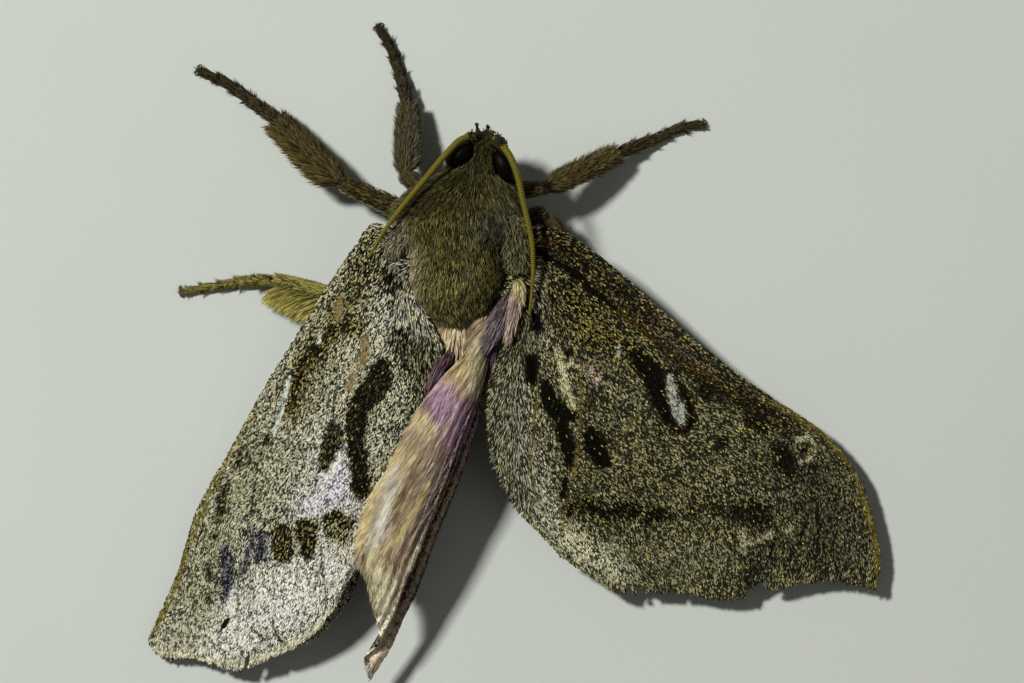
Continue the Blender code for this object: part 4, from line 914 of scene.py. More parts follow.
PAINT_LEFT = [
    (9.0, (40, 39, 28), (214, 211, 180), 0.42, 0.008, [[(-19.44, -8.91, 36)]]),
    (4.0, (90, 86, 74), (240, 238, 224), 0.7, 0.01,
     [[(-16.74, -19.71, 2.7), (-20.34, -22.41, 3.6), (-25.74, -26.01, 2.7)]]),
    (2.0, (78, 75, 58), (200, 198, 168), 0.58, 0.0, [[(-28.89, -24.21, 1.8), (-31.14, -26.46, 1.26)]]),
    (2.8, (92, 90, 92), (236, 233, 241), 0.7, 0.0,
     [[(-16.02, -10.26, 1.17), (-16.02, -12.51, 1.35), (-18, -13.86, 1.08)]]),
    (2.2, (62, 60, 42), (190, 190, 150), 0.44, 0.01,
     [[(-22.86, -8.91, 1.08), (-26.19, -15.21, 1.26), (-28.8, -21.51, 1.44)]]),
    (2.2, (13, 12, 7), (180, 172, 112), 0.17, 0.03,
     [[(-12.42, 9.54, 1.26), (-14.94, 4.59, 1.44), (-17.82, 0.09, 1.26), (-20.34, -5.31, 0.72)]]),
    (1.2, (38, 36, 26), (220, 216, 188), 0.44, 0.0,
     [[(-11.34, 9.09, 0.63), (-11.16, 8.01, 0.63)], [(-11.7, 4.59, 0.63), (-11.34, 2.34, 0.63)]]),
    (1.4, (34, 32, 22), (212, 208, 174), 0.42, 0.01,
     [[(-14.94, 0.09, 0.9), (-15.66, -3.06, 1.08), (-16.74, -5.31, 0.9)]]),
    (1.6, (12, 11, 8), (188, 184, 144), 0.19, 0.01,
     [[(-7.74, 0.09, 1.08), (-7.92, -4.41, 1.44), (-9.99, -9.36, 1.17), (-11.7, -12.51, 0.72)]]),
    (1.0, (64, 61, 48), (222, 218, 194), 0.55, 0.01,
     [[(-11.79, -13.86, 0.9), (-12.96, -13.41, 0.63)], [(-17.64, -6.21, 0.45), (-18, -8.01, 0.54)]]),
    (0.3, (120, 102, 64), (146, 128, 86), 0.5, 0.0,
     [[(-13.5, 1.17, 0.32), (-13.5, -0.09, 0.4), (-13.86, -1.35, 0.32)],
      [(-14.58, -2.25, 0.29), (-14.85, -3.33, 0.32)], [(-15.75, 4.59, 0.23), (-15.93, 2.97, 0.31)]]),
    (0.6, (9, 8, 5), (190, 170, 90), 0.08, 0.05,
     [[(-16.38, 1.89, 0.45), (-17.46, 0.45, 0.54)],
      [(-18.27, 0.09, 0.54), (-19.26, -1.35, 0.63), (-19.8, -3.06, 0.54), (-20.25, -5.31, 0.45)],
      [(-14.94, 2.34, 0.45), (-14.04, 1.89, 0.54)]]),
    (0.25, (8, 8, 5), (196, 180, 100), 0.05, 0.01,
     [[(-11.97, -1.44, 0.81), (-12.15, -2.61, 1.17), (-13.05, -3.87, 1.17), (-14.04, -5.13, 1.08),
       (-14.4, -6.93, 0.9), (-14.22, -8.91, 0.85), (-13.95, -10.71, 0.85), (-13.77, -12.33, 0.99)]]),
    (0.25, (11, 11, 8), (176, 166, 120), 0.1, 0.03,
     [[(-16.29, -7.11, 0.72), (-16.56, -8.55, 0.9), (-17.01, -10.08, 0.63)], [(-22.32, -8.1, 0.45)]]),
    (0.5, (9, 9, 6), (196, 192, 146), 0.11, 0.01,
     [[(-10.44, 1.53, 0.81), (-9.99, 0.27, 1.08), (-9.18, -1.17, 0.99)],
      [(-11.43, 6.75, 0.72), (-10.8, 5.67, 0.72)]]),
    (0.8, (18, 17, 12), (186, 182, 136), 0.2, 0.01, [[(-9.18, 0.09, 0.9), (-7.92, -2.07, 0.81)]]),
    (0.25, (11, 10, 7), (196, 186, 126), 0.1, 0.035,
     [[(-16.74, -15.12, 0.63), (-16.11, -14.94, 0.81), (-15.21, -15.48, 0.63)],
      [(-18.9, -15.84, 0.9), (-18.63, -16.92, 0.94), (-18.63, -17.91, 0.72)],
      [(-20.88, -16.47, 0.99), (-20.88, -18.09, 0.94)], [(-17.91, -15.3, 0.36), (-17.91, -15.93, 0.31)]]),
    (0.4, (18, 17, 12), (206, 198, 144), 0.27, 0.01, [[(-16.11, -16.2, 0.99), (-15.48, -16.65, 0.72)]]),
    (0.4, (26, 26, 32), (132, 133, 134), 0.2, 0.0,
     [[(-22.86, -16.56, 0.5), (-22.86, -18.36, 0.59)],
      [(-23.4, -16.11, 0.22), (-23.94, -18.09, 0.4), (-24.39, -19.8, 0.31)],
      [(-26.1, -17.73, 0.41), (-25.92, -19.89, 0.72), (-25.83, -21.87, 0.63)]]),
    (0.4, (22, 19, 11), (120, 114, 78), 0.14, 0.02,
     [[(-26.1, -12.33, 0.36), (-26.37, -13.59, 0.49), (-26.73, -15.03, 0.36)],
      [(-24.66, -8.73, 0.27), (-24.93, -10.17, 0.36)], [(-23.85, -8.91, 0.22), (-24.03, -10.17, 0.22)],
      [(-27.9, -13.77, 0.27)], [(-27, -16.65, 0.36)], [(-27.81, -19.35, 0.27), (-27.09, -20.61, 0.18)],
      [(-27.54, -21.69, 0.18), (-27.54, -22.41, 0.27)],
      [(-28.98, -14.85, 0.18), (-29.7, -17.46, 0.22), (-30.24, -19.35, 0.18)]]),
    (0.3, (150, 148, 134), (234, 234, 222), 0.9, 0.0,
     [[(-25.29, -21.33, 0.14), (-25.65, -22.68, 0.36), (-25.11, -23.49, 0.18)],
      [(-15.84, -9.36, 0.18), (-16.65, -11.07, 0.27), (-17.19, -11.61, 0.18)]]),
    (0.1, (120, 124, 112), (206, 214, 202), 0.9, 0.0,
     [[(-20.29, -2.34, 0.13), (-20.61, -3.69, 0.25), (-21.06, -5.31, 0.32), (-21.51, -7.11, 0.2)],
      [(-17.55, 1.8, 0.14), (-17.64, 0.81, 0.16)]]),
    (0.12, (26, 23, 15), (88, 82, 50), 0.15, 0.0,
     [[(-20.61, -4.23, 0.06), (-22.05, -7.11, 0.07), (-23.22, -10.53, 0.07), (-23.67, -14.13, 0.07),
       (-24.21, -16.56, 0.07)],
      [(-16.02, -1.35, 0.05), (-16.2, -4.77, 0.06), (-16.92, -8.1, 0.06), (-18.18, -12.96, 0.06)],
      [(-17.46, -17.46, 0.06), (-17.19, -20.61, 0.07), (-16.83, -22.59, 0.05)],
      [(-24.75, -18.99, 0.05), (-24.93, -21.51, 0.07), (-25.02, -23.94, 0.05)],
      [(-23.67, -24.84, 0.08), (-22.86, -25.65, 0.1), (-21.96, -26.55, 0.09)],
      [(-21.87, -24.39, 0.06), (-21.42, -25.47, 0.09), (-20.52, -26.55, 0.09)],
      [(-14.76, -19.26, 0.06), (-15.39, -21.51, 0.07), (-16.11, -22.59, 0.06)]]),
    (0.25, (88, 80, 30), (142, 132, 58), 0.4, 0.02,
     [[(-22.86, -4.86, 0.07), (-24.84, -8.01, 0.13), (-27.36, -12.51, 0.18), (-29.34, -17.46, 0.21),
       (-30.96, -22.23, 0.22), (-32.67, -25.29, 0.22)]]),
    (0.3, (130, 124, 92), (226, 222, 184), 0.75, 0.0,
     [[(-32.22, -26.64, 0.18), (-28.44, -27.72, 0.22), (-24.84, -27.99, 0.23), (-21.96, -27.27, 0.22),
       (-18.54, -25.29, 0.18), (-15.84, -22.41, 0.14)]]),
]
# Where the scales are long and hairlike
HAIRY = {
    "forewing_right": [(1.08, 9.54, 0.9), (1.26, 4.59, 1.26), (-0.72, -2.61, 1.44),
                       (-0.72, -8.01, 1.35), (1.26, -13.41, 0.9)],
    "forewing_left": [(-11.16, 9.54, 1.08), (-10.08, 4.59, 1.26), (-8.28, 0.09, 1.26),
                      (-7.56, -5.31, 0.72)],
}
# Length and width of a scale, how high it is set and how deep its keel is
SCALE_LENGTH, SCALE_WIDTH, SCALE_SEAT, SCALE_KEEL = 0.32, 0.134, 0.02, 0.025
GOLD = paint(186, 170, 80)
# Scales on the underside: how much larger they are, and their brown dust
BELOW_LONGER, BELOW_WIDER = 1.7, 1.9
BELOW_DARK, BELOW_LIGHT = paint(70, 58, 36), paint(120, 106, 74)
FRINGE_OUTER, FRINGE_INNER = 1500, 1100
# The step in s or c that a slope is measured over, and the cells that scales are shared out over
SLOPE_STEP = 2e-3
SPREAD_ROWS, SPREAD_COLS = 150, 110
FOREWING_THICK = 0.16


def membrane(edges, camber, relief):
    """The upper face of a wing as a function of s from root to margin and c from costa to inner edge."""
    costa, outer, inner = (curve(edges[key]) for key in ("costa", "outer", "inner"))
    first, last = np.array(edges["costa"][0]), np.array(edges["inner"][0])
    apex, corner = np.array(edges["outer"][0]), np.array(edges["outer"][-1])

    def surface(s, c):
        s, c = np.broadcast_arrays(np.asarray(s, float), c)
        u, w = s[..., None], c[..., None]
        point = ((1 - w) * costa(s) + w * inner(s) + (1 - u) * (first * (1 - w) + last * w)
                 + u * outer(c) - (1 - u) * ((1 - w) * first + w * last)
                 - u * ((1 - w) * apex + w * corner))
        arch = np.sin(math.pi * np.clip(s, 0, 1)) ** 0.8 * np.sin(math.pi * np.clip(c, 0, 1))
        point[..., 2] += camber * arch + relief(point, s, c)
        return point

    return surface


def slopes(surface, s, c):
    """Directions along and across a wing there, and the way its upper face looks."""
    step = SLOPE_STEP
    along = unit(surface(np.minimum(s + step, 1), c) - surface(np.maximum(s - step, 0), c))
    over = surface(s, np.minimum(c + step, 1)) - surface(s, np.maximum(c - step, 0))
    facing = unit(np.cross(along, over))
    return along, over, facing * np.sign(facing[..., 2:3])


def near_stroke(points, stroke):
    """How far each plan point is outside a stroke. It is negative inside."""
    best = np.full(len(points), 1e9)
    for a, b in zip(stroke, stroke[1:] or stroke):
        a, b = np.array(a), np.array(b)
        span = b[:2] - a[:2]
        t = np.clip(((points - a[:2]) @ span) / max(span @ span, 1e-9), 0, 1)
        best = np.minimum(best, np.linalg.norm(points - a[:2] - t[:, None] * span, axis=1)
                          - (a[2] * (1 - t) + b[2] * t))
    return best


def washed(points, layers, rough=0.3):
    """The dark and light tints and the shares of light and gold scales that the paint gives at each
    plan point."""
    ragged = wave(np.c_[points, np.zeros(len(points))], 0.5, 2.0) * rough
    dark, light = np.zeros((len(points), 3)), np.zeros((len(points), 3))
    share, gold = np.zeros(len(points)), np.zeros(len(points))
    for soft, low, high, portion, flecks, strokes in layers:
        away = np.min([near_stroke(points, stroke) for stroke in strokes], axis=0)
        cover = np.clip(0.5 - (away + ragged * min(soft * 2, 1)) / (2 * soft), 0, 1)
        cover = cover * cover * (3 - 2 * cover)
        dark += (paint(*low) - dark) * cover[:, None]
        light += (paint(*high) - light) * cover[:, None]
        share += (portion - share) * cover
        gold += (flecks - gold) * cover
    return dark, light, share, gold


def spread(surface, count):
    """Places s, c spread evenly over a wing by area."""
    rows, cols = SPREAD_ROWS, SPREAD_COLS
    s, c = np.meshgrid(np.linspace(0, 1, rows + 1), np.linspace(0, 1, cols + 1), indexing="ij")
    grid = surface(s, c)
    across, along = grid[1:, :-1] - grid[:-1, :-1], grid[:-1, 1:] - grid[:-1, :-1]
    total = np.cumsum(np.linalg.norm(np.cross(across, along), axis=-1).ravel())
    cell = np.searchsorted(total / total[-1], (np.arange(count) + draw.random(count)) / count)
    cell = np.minimum(cell, rows * cols - 1)
    return (cell // cols + draw.random(count)) / rows, (cell % cols + draw.random(count)) / cols


def flecked(points, dark, light, share, gold):
    """Each scale's own tint: gold, light or dark by chance, and a little brighter or duller. Scales of
    one kind keep together in small clusters."""
    share = share * (1 + 0.45 * wave(points, 0.42, 9.0))
    mix = np.clip(0.5 + (share - draw.random(len(dark))) * 3.2, 0, 1) * np.clip(share * 6, 0, 1)
    tint = np.where((draw.random(len(dark)) < gold)[:, None], GOLD,
                    dark * (1 - mix[:, None]) + light * mix[:, None])
    return tint * draw.uniform(0.7, 1.3, (len(dark), 1))


def scales(name, root, along, facing, length, width, lift, tint, patch):
    """Flat closed scales, each a kite with a ridge, lying along the wing with the tip lifted."""
    side = unit(np.cross(along, facing)) * (width / 2)[:, None]
    root = root + facing * SCALE_SEAT
    tip = root + along * length[:, None] + facing * lift[:, None]
    wide = root + (tip - root) * 0.6 - facing * SCALE_KEEL
    points = np.stack([root, wide - side, wide + side, tip], 1)
    faces = np.array([(0, 1, 2), (3, 2, 1), (0, 3, 1), (0, 2, 3)])
    if np.linalg.det(points[0][faces] - points[0][0]).sum() < 0:
        faces = faces[:, ::-1]
    places = patch[:, None] + np.array([(0, -PATCH), (-PATCH, 0.0004), (PATCH, 0.0004), (0, PATCH)])
    tints = np.stack([tint * 0.8, tint, tint, tint * 1.1], 1)
    return built(name, points, faces, tints, places)


def wing_skin(name, surface, layers, rows, cols, thick, finish, replaced):
    """A wing's membrane: a grid laid on the surface and given its thickness, painted as its scales are."""
    bpy.ops.mesh.primitive_grid_add(x_subdivisions=rows, y_subdivisions=cols, size=1)
    made = bpy.context.object
    flat = np.array([vert.co[:] for vert in made.data.vertices]) + 0.5
    placed(name, surface(flat[:, 0], flat[:, 1]), made)
    if np.mean([face.normal.z for face in made.data.polygons]) < 0:
        made.data.flip_normals()
    shaped(made, "SOLIDIFY", thickness=thick * MM, offset=-1)
    dark, light, share, gold = washed(plan(made)[:, :2], layers)
    part = (share + gold)[:, None]
    tinted(made, (dark * (1 - part) + light * part) * 0.6)
    for face in made.data.polygons:
        face.use_smooth = True
    made.data.materials.append(finish)
    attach(made, "root")
    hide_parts(replaced)
    return made


def veined(veins, rise, wrinkle):
    """Relief of a wing: veins that stand up and soft wrinkles that deepen towards the margin."""
    def relief(point, s, c):
        height = np.zeros(s.shape)
        for middle, start in veins:
            height += rise * np.exp(-((c - middle) / 0.009) ** 2) * np.clip((s - start) / 0.1, 0, 1)
        flat = point.reshape(-1, 3) * (1.0, 0.45, 0.0)
        return height + wrinkle * wave(flat, 1.6, 5.0).reshape(s.shape) * np.clip(s * 1.4 - 0.2, 0.15, 1)
    return relief


scaly = Finish("wing_membrane", roughness=0.7, specular=0.03)
fleck = scaly.add("ShaderNodeTexVoronoi", {}, {"Vector": scaly.where, "Scale": 5.5 / MM}, "Distance")
scaly_finish = scaly.shows(
    colour=scaly.mixed(scaly.stepped(fleck, 0.1, 0.5), scaly.tint(), (0.005, 0.004, 0.002)),
    roughness=0.5 + 0.25 * scaly.stepped(fleck, 0, 0.6), height=fleck, depth=0.03)
dusty = Finish("wing_scales_brown", roughness=0.6, specular=0.03)
dusty_finish = dusty.shows(
    colour=dusty.mixed(0.25 * dusty.stepped(dusty.noise(7.0), 0.35, 0.7), dusty.tint(),
                       (0.006, 0.005, 0.003)),
    height=dusty.noise(16.0), depth=0.006)
# Holes and torn notches: place, half length, half width, and angle from the image right
TEARS = {
    "forewing_right": [
        ((10.17, -21.6), 0.5, 0.32, 100), ((11.07, -21.42), 0.6, 0.22, 150),
        ((21.15, -21.87), 0.5, 0.55, 60), ((21.87, -21.24), 0.95, 0.36, 35),
        ((22.5, -21.87), 0.45, 0.3, 60), ((20.79, -19.8), 0.24, 0.14, 70),
        ((13.95, -21.69), 0.4, 0.16, 80), ((3.69, -16.83), 0.28, 0.1, 40),
        ((4.86, -18.18), 0.28, 0.1, 45)],
    "forewing_left": [
        ((-26.1, -24.48), 0.62, 0.24, 52), ((-24.12, -27.9), 0.6, 0.2, 78),
        ((-21.96, -27.63), 0.3, 0.12, 110), ((-16.74, -23.94), 0.9, 0.1, 50),
        ((-28.89, -27.9), 0.3, 0.14, 85), ((-27.18, -28.17), 0.25, 0.12, 95)],
}
for name, edges, camber, layers, count in (
    ("forewing_right", FOREWING_RIGHT, 0.9, PAINT_RIGHT, 38500),
    ("forewing_left", FOREWING_LEFT, 1.3, PAINT_LEFT, 36500),
):
    surface = membrane(edges, camber, veined(FOREWING_VEINS, 0.09, 0.07))
    skin = wing_skin(name + "_skin", surface, layers, 110, 100, FOREWING_THICK, scaly_finish, name)
    for place, long, wide, angle in TEARS[name]:
        bpy.ops.mesh.primitive_cylinder_add(vertices=14, radius=1, depth=1)
        cutter = bpy.context.object
        flat = np.array([vert.co[:] for vert in cutter.data.vertices]) * (long, wide, 30.0)
        placed("cutter", turned(flat, angle) + (*place, 0), cutter)
        shaped(skin, "BOOLEAN", object=cutter, operation="DIFFERENCE", solver="MANIFOLD")
        bpy.data.objects.remove(cutter)
    for layer in (1, 2, 3):
        below = layer == 3
        s, c = spread(surface, 7000 if below else count)
        if layer == 1:
            # Fringe scales along the outer margin and the inner edge
            outer, inner = slice(FRINGE_OUTER), slice(FRINGE_OUTER, FRINGE_OUTER + FRINGE_INNER)
            s[outer], s[inner] = draw.uniform(0.985, 1, FRINGE_OUTER), draw.uniform(0.1, 1, FRINGE_INNER)
            c[outer], c[inner] = draw.random(FRINGE_OUTER), draw.uniform(0.99, 1, FRINGE_INNER)
        root = surface(s, c)
        along, over, facing = slopes(surface, s, c)
        hairy = np.clip(0.5 - near_stroke(root[:, :2], HAIRY[name]) / 2.0, 0, 1)
        turn = draw.normal(0, 0.16, len(s)) + 0.25 * wave(root, 1.3, 4.0)
        turn = turn * np.clip(c / 0.025, 0.05, 1)
        sweep = np.clip((c - 0.985) / 0.01, 0, 0.8) + 0.6 * hairy * np.clip((c - 0.8) / 0.2, 0, 1)
        way = unit(along + np.cross(facing, along) * turn[:, None] + unit(over) * sweep[:, None])
        length = SCALE_LENGTH + 0.4 * hairy + 0.12 * (s > 0.985)
        length = length * draw.uniform(0.75, 1.3, len(s))
        width = (SCALE_WIDTH - 0.06 * hairy) * draw.uniform(0.75, 1.25, len(s))
        if below:
            root, facing = root - facing * FOREWING_THICK, -facing
            length, width = length * BELOW_LONGER, width * BELOW_WIDER
        middle = (root + way * length[:, None] * 0.6)[:, :2]
        # None lies over a hole or a notch
        whole = np.ones(len(s), bool)
        for place, long, wide, angle in TEARS[name]:
            for spot in (middle, root[:, :2], root[:, :2] + way[:, :2] * length[:, None]):
                off = turned(spot - place, -angle)
                whole &= np.hypot(off[:, 0] / long, off[:, 1] / wide) > 1
        dark, light, share, gold = washed(middle + draw.normal(0, 0.07, middle.shape), layers)
        if below:
            dark, light = dark * 0.6 + BELOW_DARK * 0.4, light * 0.5 + BELOW_LIGHT * 0.3
            gold = gold * 0
        tint = flecked(root, dark, light, share, gold)
        parts = (root, way, facing, length, width, length * draw.uniform(0.06, 0.3, len(s)), tint,
                 unwrapped(c, s))
        coat = scales(f"scales_{name}_{layer}", *[part[whole] for part in parts])
        coat.data.materials.append(dusty_finish)

# Hindwings. Softer and folded like a fan along the body. The right one shows: sharp pleats with small
# scales on its outer half, long silky gold and mauve hair on the inner half. The left one lies below.
HINDWING_RIGHT = {
    "costa": [
        (-1.2, 6.0, 7.3), (-1.3, 2.1, 7.5), (-2.2, 0.1, 7.5), (-2.4, -3.1, 7.3),
        (-3.4, -6.7, 7.0), (-4.6, -10.3, 6.5), (-5.8, -13.4, 6.0), (-7.2, -16.8, 5.4),
        (-8.8, -21.3, 4.8), (-10.1, -24.0, 4.4), (-11.3, -26.7, 4.0), (-13.0, -29.4, 3.9)],
    "outer": [
        (-13.0, -29.4, 3.9), (-13.5, -27.5, 4.4), (-12.2, -26.0, 5.2), (-12.2, -24.7, 6.0),
        (-13.0, -21.1, 7.3), (-13.9, -17.3, 8.5)],
    "inner": [
        (-2.6, 5.6, 7.5), (-2.8, 3.2, 8.4), (-3.5, 1.2, 9.6), (-4.9, -0.6, 10.5),
        (-6.2, -1.9, 10.7), (-7.7, -3.8, 10.6), (-8.8, -6.2, 10.4), (-10.4, -9.2, 10.2),
        (-12.2, -12.2, 9.8), (-13.9, -17.3, 8.5)],
}
HINDWING_LEFT = {
    "costa": [
        (-8.8, 6.1, 6.6), (-12.7, 3.7, 5.4), (-16.7, -2.2, 3.4), (-21.2, -10.7, 2.0),
        (-24.8, -18.8, 1.4), (-25.9, -22.4, 1.3)],
    "outer": [
        (-25.9, -22.4, 1.3), (-22.9, -25.3, 1.7), (-19.4, -26.2, 2.3), (-17.5, -25.3, 2.8),
        (-14.9, -22.2, 3.9), (-13.9, -18.8, 4.7)],
    "inner": [
        (-9.0, 3.5, 6.4), (-10.8, -0.8, 6.3), (-11.9, -5.3, 5.9), (-12.5, -9.8, 5.5),
        (-13.1, -14.3, 5.2), (-13.9, -18.8, 4.7)],
}
# Share of the wing's width that one pleat takes, and its depth
PLEAT, PLEAT_DEPTH = 0.1, 0.3
# Towards the tail, scales run right across from the first of these, and silky hair ends at the other
TAIL_FROM, SILK_TO = -22.3, -23.0
PLEAT_SCALES, SILK_HAIRS, HIDDEN_SCALES = 16000, 23000, 6000
# The silky hair down the wing: how far it slants outwards, and its length
SLANT_PLACES, SLANTS = (0, 8, 13, 17, 20, 24), (0.5, 0.55, 0.62, 0.4, 0.05, 0.1)
SILK_PLACES, SILK_LENGTHS = (-6, 0, 14, 19, 24), (1.8, 2.5, 2.2, 1.2, 0.8)
SILK_STEP = 0.004
HIDDEN_VEINS = [(0.12, 0.0), (0.35, 0.2), (0.58, 0.0), (0.82, 0.2)]
PAINT_HINDWING = [
    (9.0, (96, 78, 64), (206, 182, 148), 0.5, 0.0, [[(-7.74, -11.61, 36)]]),
    (1.2, (64, 54, 52), (176, 154, 150), 0.45, 0.0,
     [[(-2.16, -3.96, 0.63), (-3.78, -9.81, 0.9), (-5.58, -15.21, 1.08), (-7.74, -20.16, 0.99),
       (-10.26, -25.11, 0.81)]]),
    (1.0, (124, 96, 66), (236, 206, 154), 0.6, 0.0, [[(-3.42, 0.09, 0.72), (-5.22, -2.43, 0.9)]]),
    (1.0, (104, 70, 96), (216, 176, 200), 0.62, 0.0,
     [[(-5.94, -3.15, 1.08), (-6.84, -5.13, 1.08), (-7.56, -6.57, 0.45)],
      [(-4.5, -4.41, 0.9), (-5.4, -7.65, 0.81)]]),
    (0.7, (74, 54, 66), (170, 142, 156), 0.45, 0.0,
     [[(-3.69, -4.41, 0.45), (-4.68, -8.01, 0.54), (-5.67, -10.71, 0.36)]]),
    (0.5, (194, 168, 116), (252, 242, 204), 0.85, 0.0,
     [[(-3.24, 0.9, 0.45), (-3.33, -0.81, 0.4), (-3.78, -2.61, 0.27)]]),
    (0.4, (190, 160, 96), (252, 234, 176), 0.85, 0.0,
     [[(-3.24, 0.54, 0.27), (-4.5, -0.99, 0.27), (-5.58, -1.98, 0.22)]]),
    (0.7, (168, 138, 74), (250, 230, 172), 0.7, 0.0, [[(-8.1, -5.49, 0.63), (-7.56, -6.57, 0.72)]]),
    (1.2, (132, 106, 62), (240, 216, 158), 0.6, 0.0,
     [[(-9.54, -8.91, 1.26), (-10.8, -11.61, 1.08), (-10.44, -13.41, 1.08)]]),
    (0.5, (186, 156, 94), (248, 228, 164), 0.8, 0.0,
     [[(-10.62, -9.09, 0.27), (-12.06, -12.06, 0.36), (-13.14, -15.21, 0.36), (-13.68, -17.01, 0.27)]]),
    (0.7, (186, 172, 136), (252, 246, 222), 0.85, 0.0,
     [[(-10.26, -9.99, 0.36), (-10.98, -12.51, 0.54), (-11.7, -15.21, 0.54), (-12.6, -17.01, 0.36)]]),
    (0.4, (74, 58, 36), (150, 126, 88), 0.35, 0.0,
     [[(-8.64, -10.35, 0.22), (-9.9, -12.69, 0.27), (-10.44, -14.49, 0.22)]]),
    (0.7, (80, 68, 60), (190, 170, 160), 0.5, 0.0,
     [[(-6.48, -9.81, 0.45), (-7.65, -13.68, 0.45), (-8.64, -16.83, 0.36)]]),
    (0.3, (196, 162, 80), (255, 238, 160), 0.92, 0.0,
     [[(-7.11, -10.53, 0.13), (-8.1, -12.51, 0.16), (-9.18, -14.58, 0.2), (-10.53, -16.65, 0.22),
       (-12.96, -18.09, 0.2)]]),
    (0.9, (184, 166, 112), (255, 246, 198), 0.8, 0.0,
     [[(-12.42, -18.99, 0.72), (-11.88, -20.79, 0.99), (-11.7, -22.05, 0.72)]]),
    (0.35, (214, 190, 132), (255, 250, 214), 0.95, 0.0,
     [[(-8.55, -17.46, 0.14), (-9.45, -18.9, 0.18), (-10.71, -20.61, 0.2), (-11.7, -22.59, 0.2)]]),
    (0.6, (172, 163, 116), (255, 250, 216), 0.85, 0.0,
     [[(-11.34, -22.77, 0.54), (-11.88, -25.11, 0.54), (-12.6, -26.91, 0.45)]]),
    (0.6, (84, 82, 68), (184, 184, 164), 0.55, 0.0, [[(-13.5, -27.99, 0.54), (-12.96, -29.25, 0.45)]]),
]
# Paint of the left hindwing: a pale tan made paler still, painted light for the strip in the forewing's
# shade
PAINT_HIDDEN_LIGHTENED = [(9.0, (184, 162, 126), (248, 234, 204), 0.6, 0.0, [[(-15.84, -18.81, 36)]])]


def crest(c):
    """0 in the valleys and 1 on the crests of the pleats."""
    return 1 - np.abs(2 * ((c / PLEAT) % 1) - 1)


def pleated(point, s, c):
    """Relief of the right hindwing: sharp pleats on the outer half and soft strands on the other."""
    outer_half = np.clip((0.6 - c) / 0.14, 0, 1) * np.clip(s * 5, 0.1, 1)
    strand = 0.07 * np.sin(c * 46 + 3 * s) * (1 - outer_half)
    return (crest(c) - 1) * PLEAT_DEPTH * outer_half + strand


silky = Finish("hair_silky", roughness=0.4, specular=0.3)
silky_finish = silky.shows(
    colour=silky.mixed(0.2 * silky.stepped(silky.noise(1.6), 0.35, 0.7), silky.tint(), paint(60, 44, 34)),
    height=silky.noise(12.0), depth=0.008)
surface = membrane(HINDWING_RIGHT, 0.9, pleated)
wing_skin("hindwing_right_skin", surface, PAINT_HINDWING, 130, 100, 0.14, scaly_finish, "hindwing_right")

# The pleats' small scales, with painted light on the crests and painted shade in the valleys
s, c = spread(surface, 2 * PLEAT_SCALES)
tail = surface(s, c)[:, 1] < TAIL_FROM
scaled = (c < 0.5 + draw.normal(0, 0.06, len(c))) | tail
pick = draw.permutation(np.flatnonzero(scaled))[:PLEAT_SCALES]
s, c, tail = s[pick], c[pick], tail[pick]
root = surface(s, c)
along, over, facing = slopes(surface, s, c)
dark, light, share, gold = washed(root[:, :2], PAINT_HINDWING)
# Painted light and shade of the pleats: more light scales on the crests, dark scales darker in the valleys
ridge = np.maximum(crest(c), 0.8 * tail)
share = np.clip(share * 2.0 * ridge, 0, 1)
length = 0.32 * draw.uniform(0.75, 1.3, len(s))
coat = scales("scales_hindwing_right", root, along, facing, length,
              0.13 * draw.uniform(0.75, 1.25, len(s)), length * draw.uniform(0.05, 0.25, len(s)),
              flecked(root, dark * (0.45 + 0.55 * ridge)[:, None], light, share, gold), unwrapped(c, s))
coat.data.materials.append(dusty_finish)

# Silky hair in fine strands that sweep to the rear and out over the inner edge. Its plan direction
# changes down the wing, and its tips keep to the wing's height
s, c = spread(surface, 52000)
hairy = c > 0.44 + draw.normal(0, 0.05, len(c)) - 0.3 * (s < 0.12)
hairy &= surface(s, c)[:, 1] > SILK_TO
pick = draw.permutation(np.flatnonzero(hairy))[:SILK_HAIRS]
s, c = s[pick], c[pick]
count = len(s)
root = surface(s, c)
along, over, facing = slopes(surface, s, c)
slant = np.interp(-root[:, 1], SLANT_PLACES, SLANTS) + 0.3 * np.clip((c - 0.82) / 0.18, 0, 1)
slant = slant + 0.16 * wave(root, 2.2, 6.0) + draw.normal(0, 0.05, count)
way = unit(np.stack([-slant, -np.ones(count)], 1))
length = np.interp(-root[:, 1], SILK_PLACES, SILK_LENGTHS) * draw.uniform(0.6, 1.2, count)
reach = way * length[:, None]
# The place on the wing that each tip lies over, from how fast the plan changes with s and c
s_next, c_next = np.minimum(s + SILK_STEP, 1), np.minimum(c + SILK_STEP, 1)
ahead = (surface(s_next, c) - surface(s - SILK_STEP, c))[:, :2] / (s_next - s + SILK_STEP)[:, None]
aside = (surface(s, c_next) - surface(s, c - SILK_STEP))[:, :2] / (c_next - c + SILK_STEP)[:, None]
area = ahead[:, 0] * aside[:, 1] - ahead[:, 1] * aside[:, 0]
s_tip = np.clip(s + (reach[:, 0] * aside[:, 1] - reach[:, 1] * aside[:, 0]) / area, 0, 1)
c_tip = np.clip(c + (ahead[:, 0] * reach[:, 1] - ahead[:, 1] * reach[:, 0]) / area, 0, 1)
tip = root + np.c_[reach, np.zeros(count)]
tip[:, 2] = surface(s_tip, c_tip)[:, 2] + 0.05 + 0.16 * draw.random(count)
dark, light, share, gold = washed(root[:, :2] + reach * 0.4, PAINT_HINDWING, 0.5)
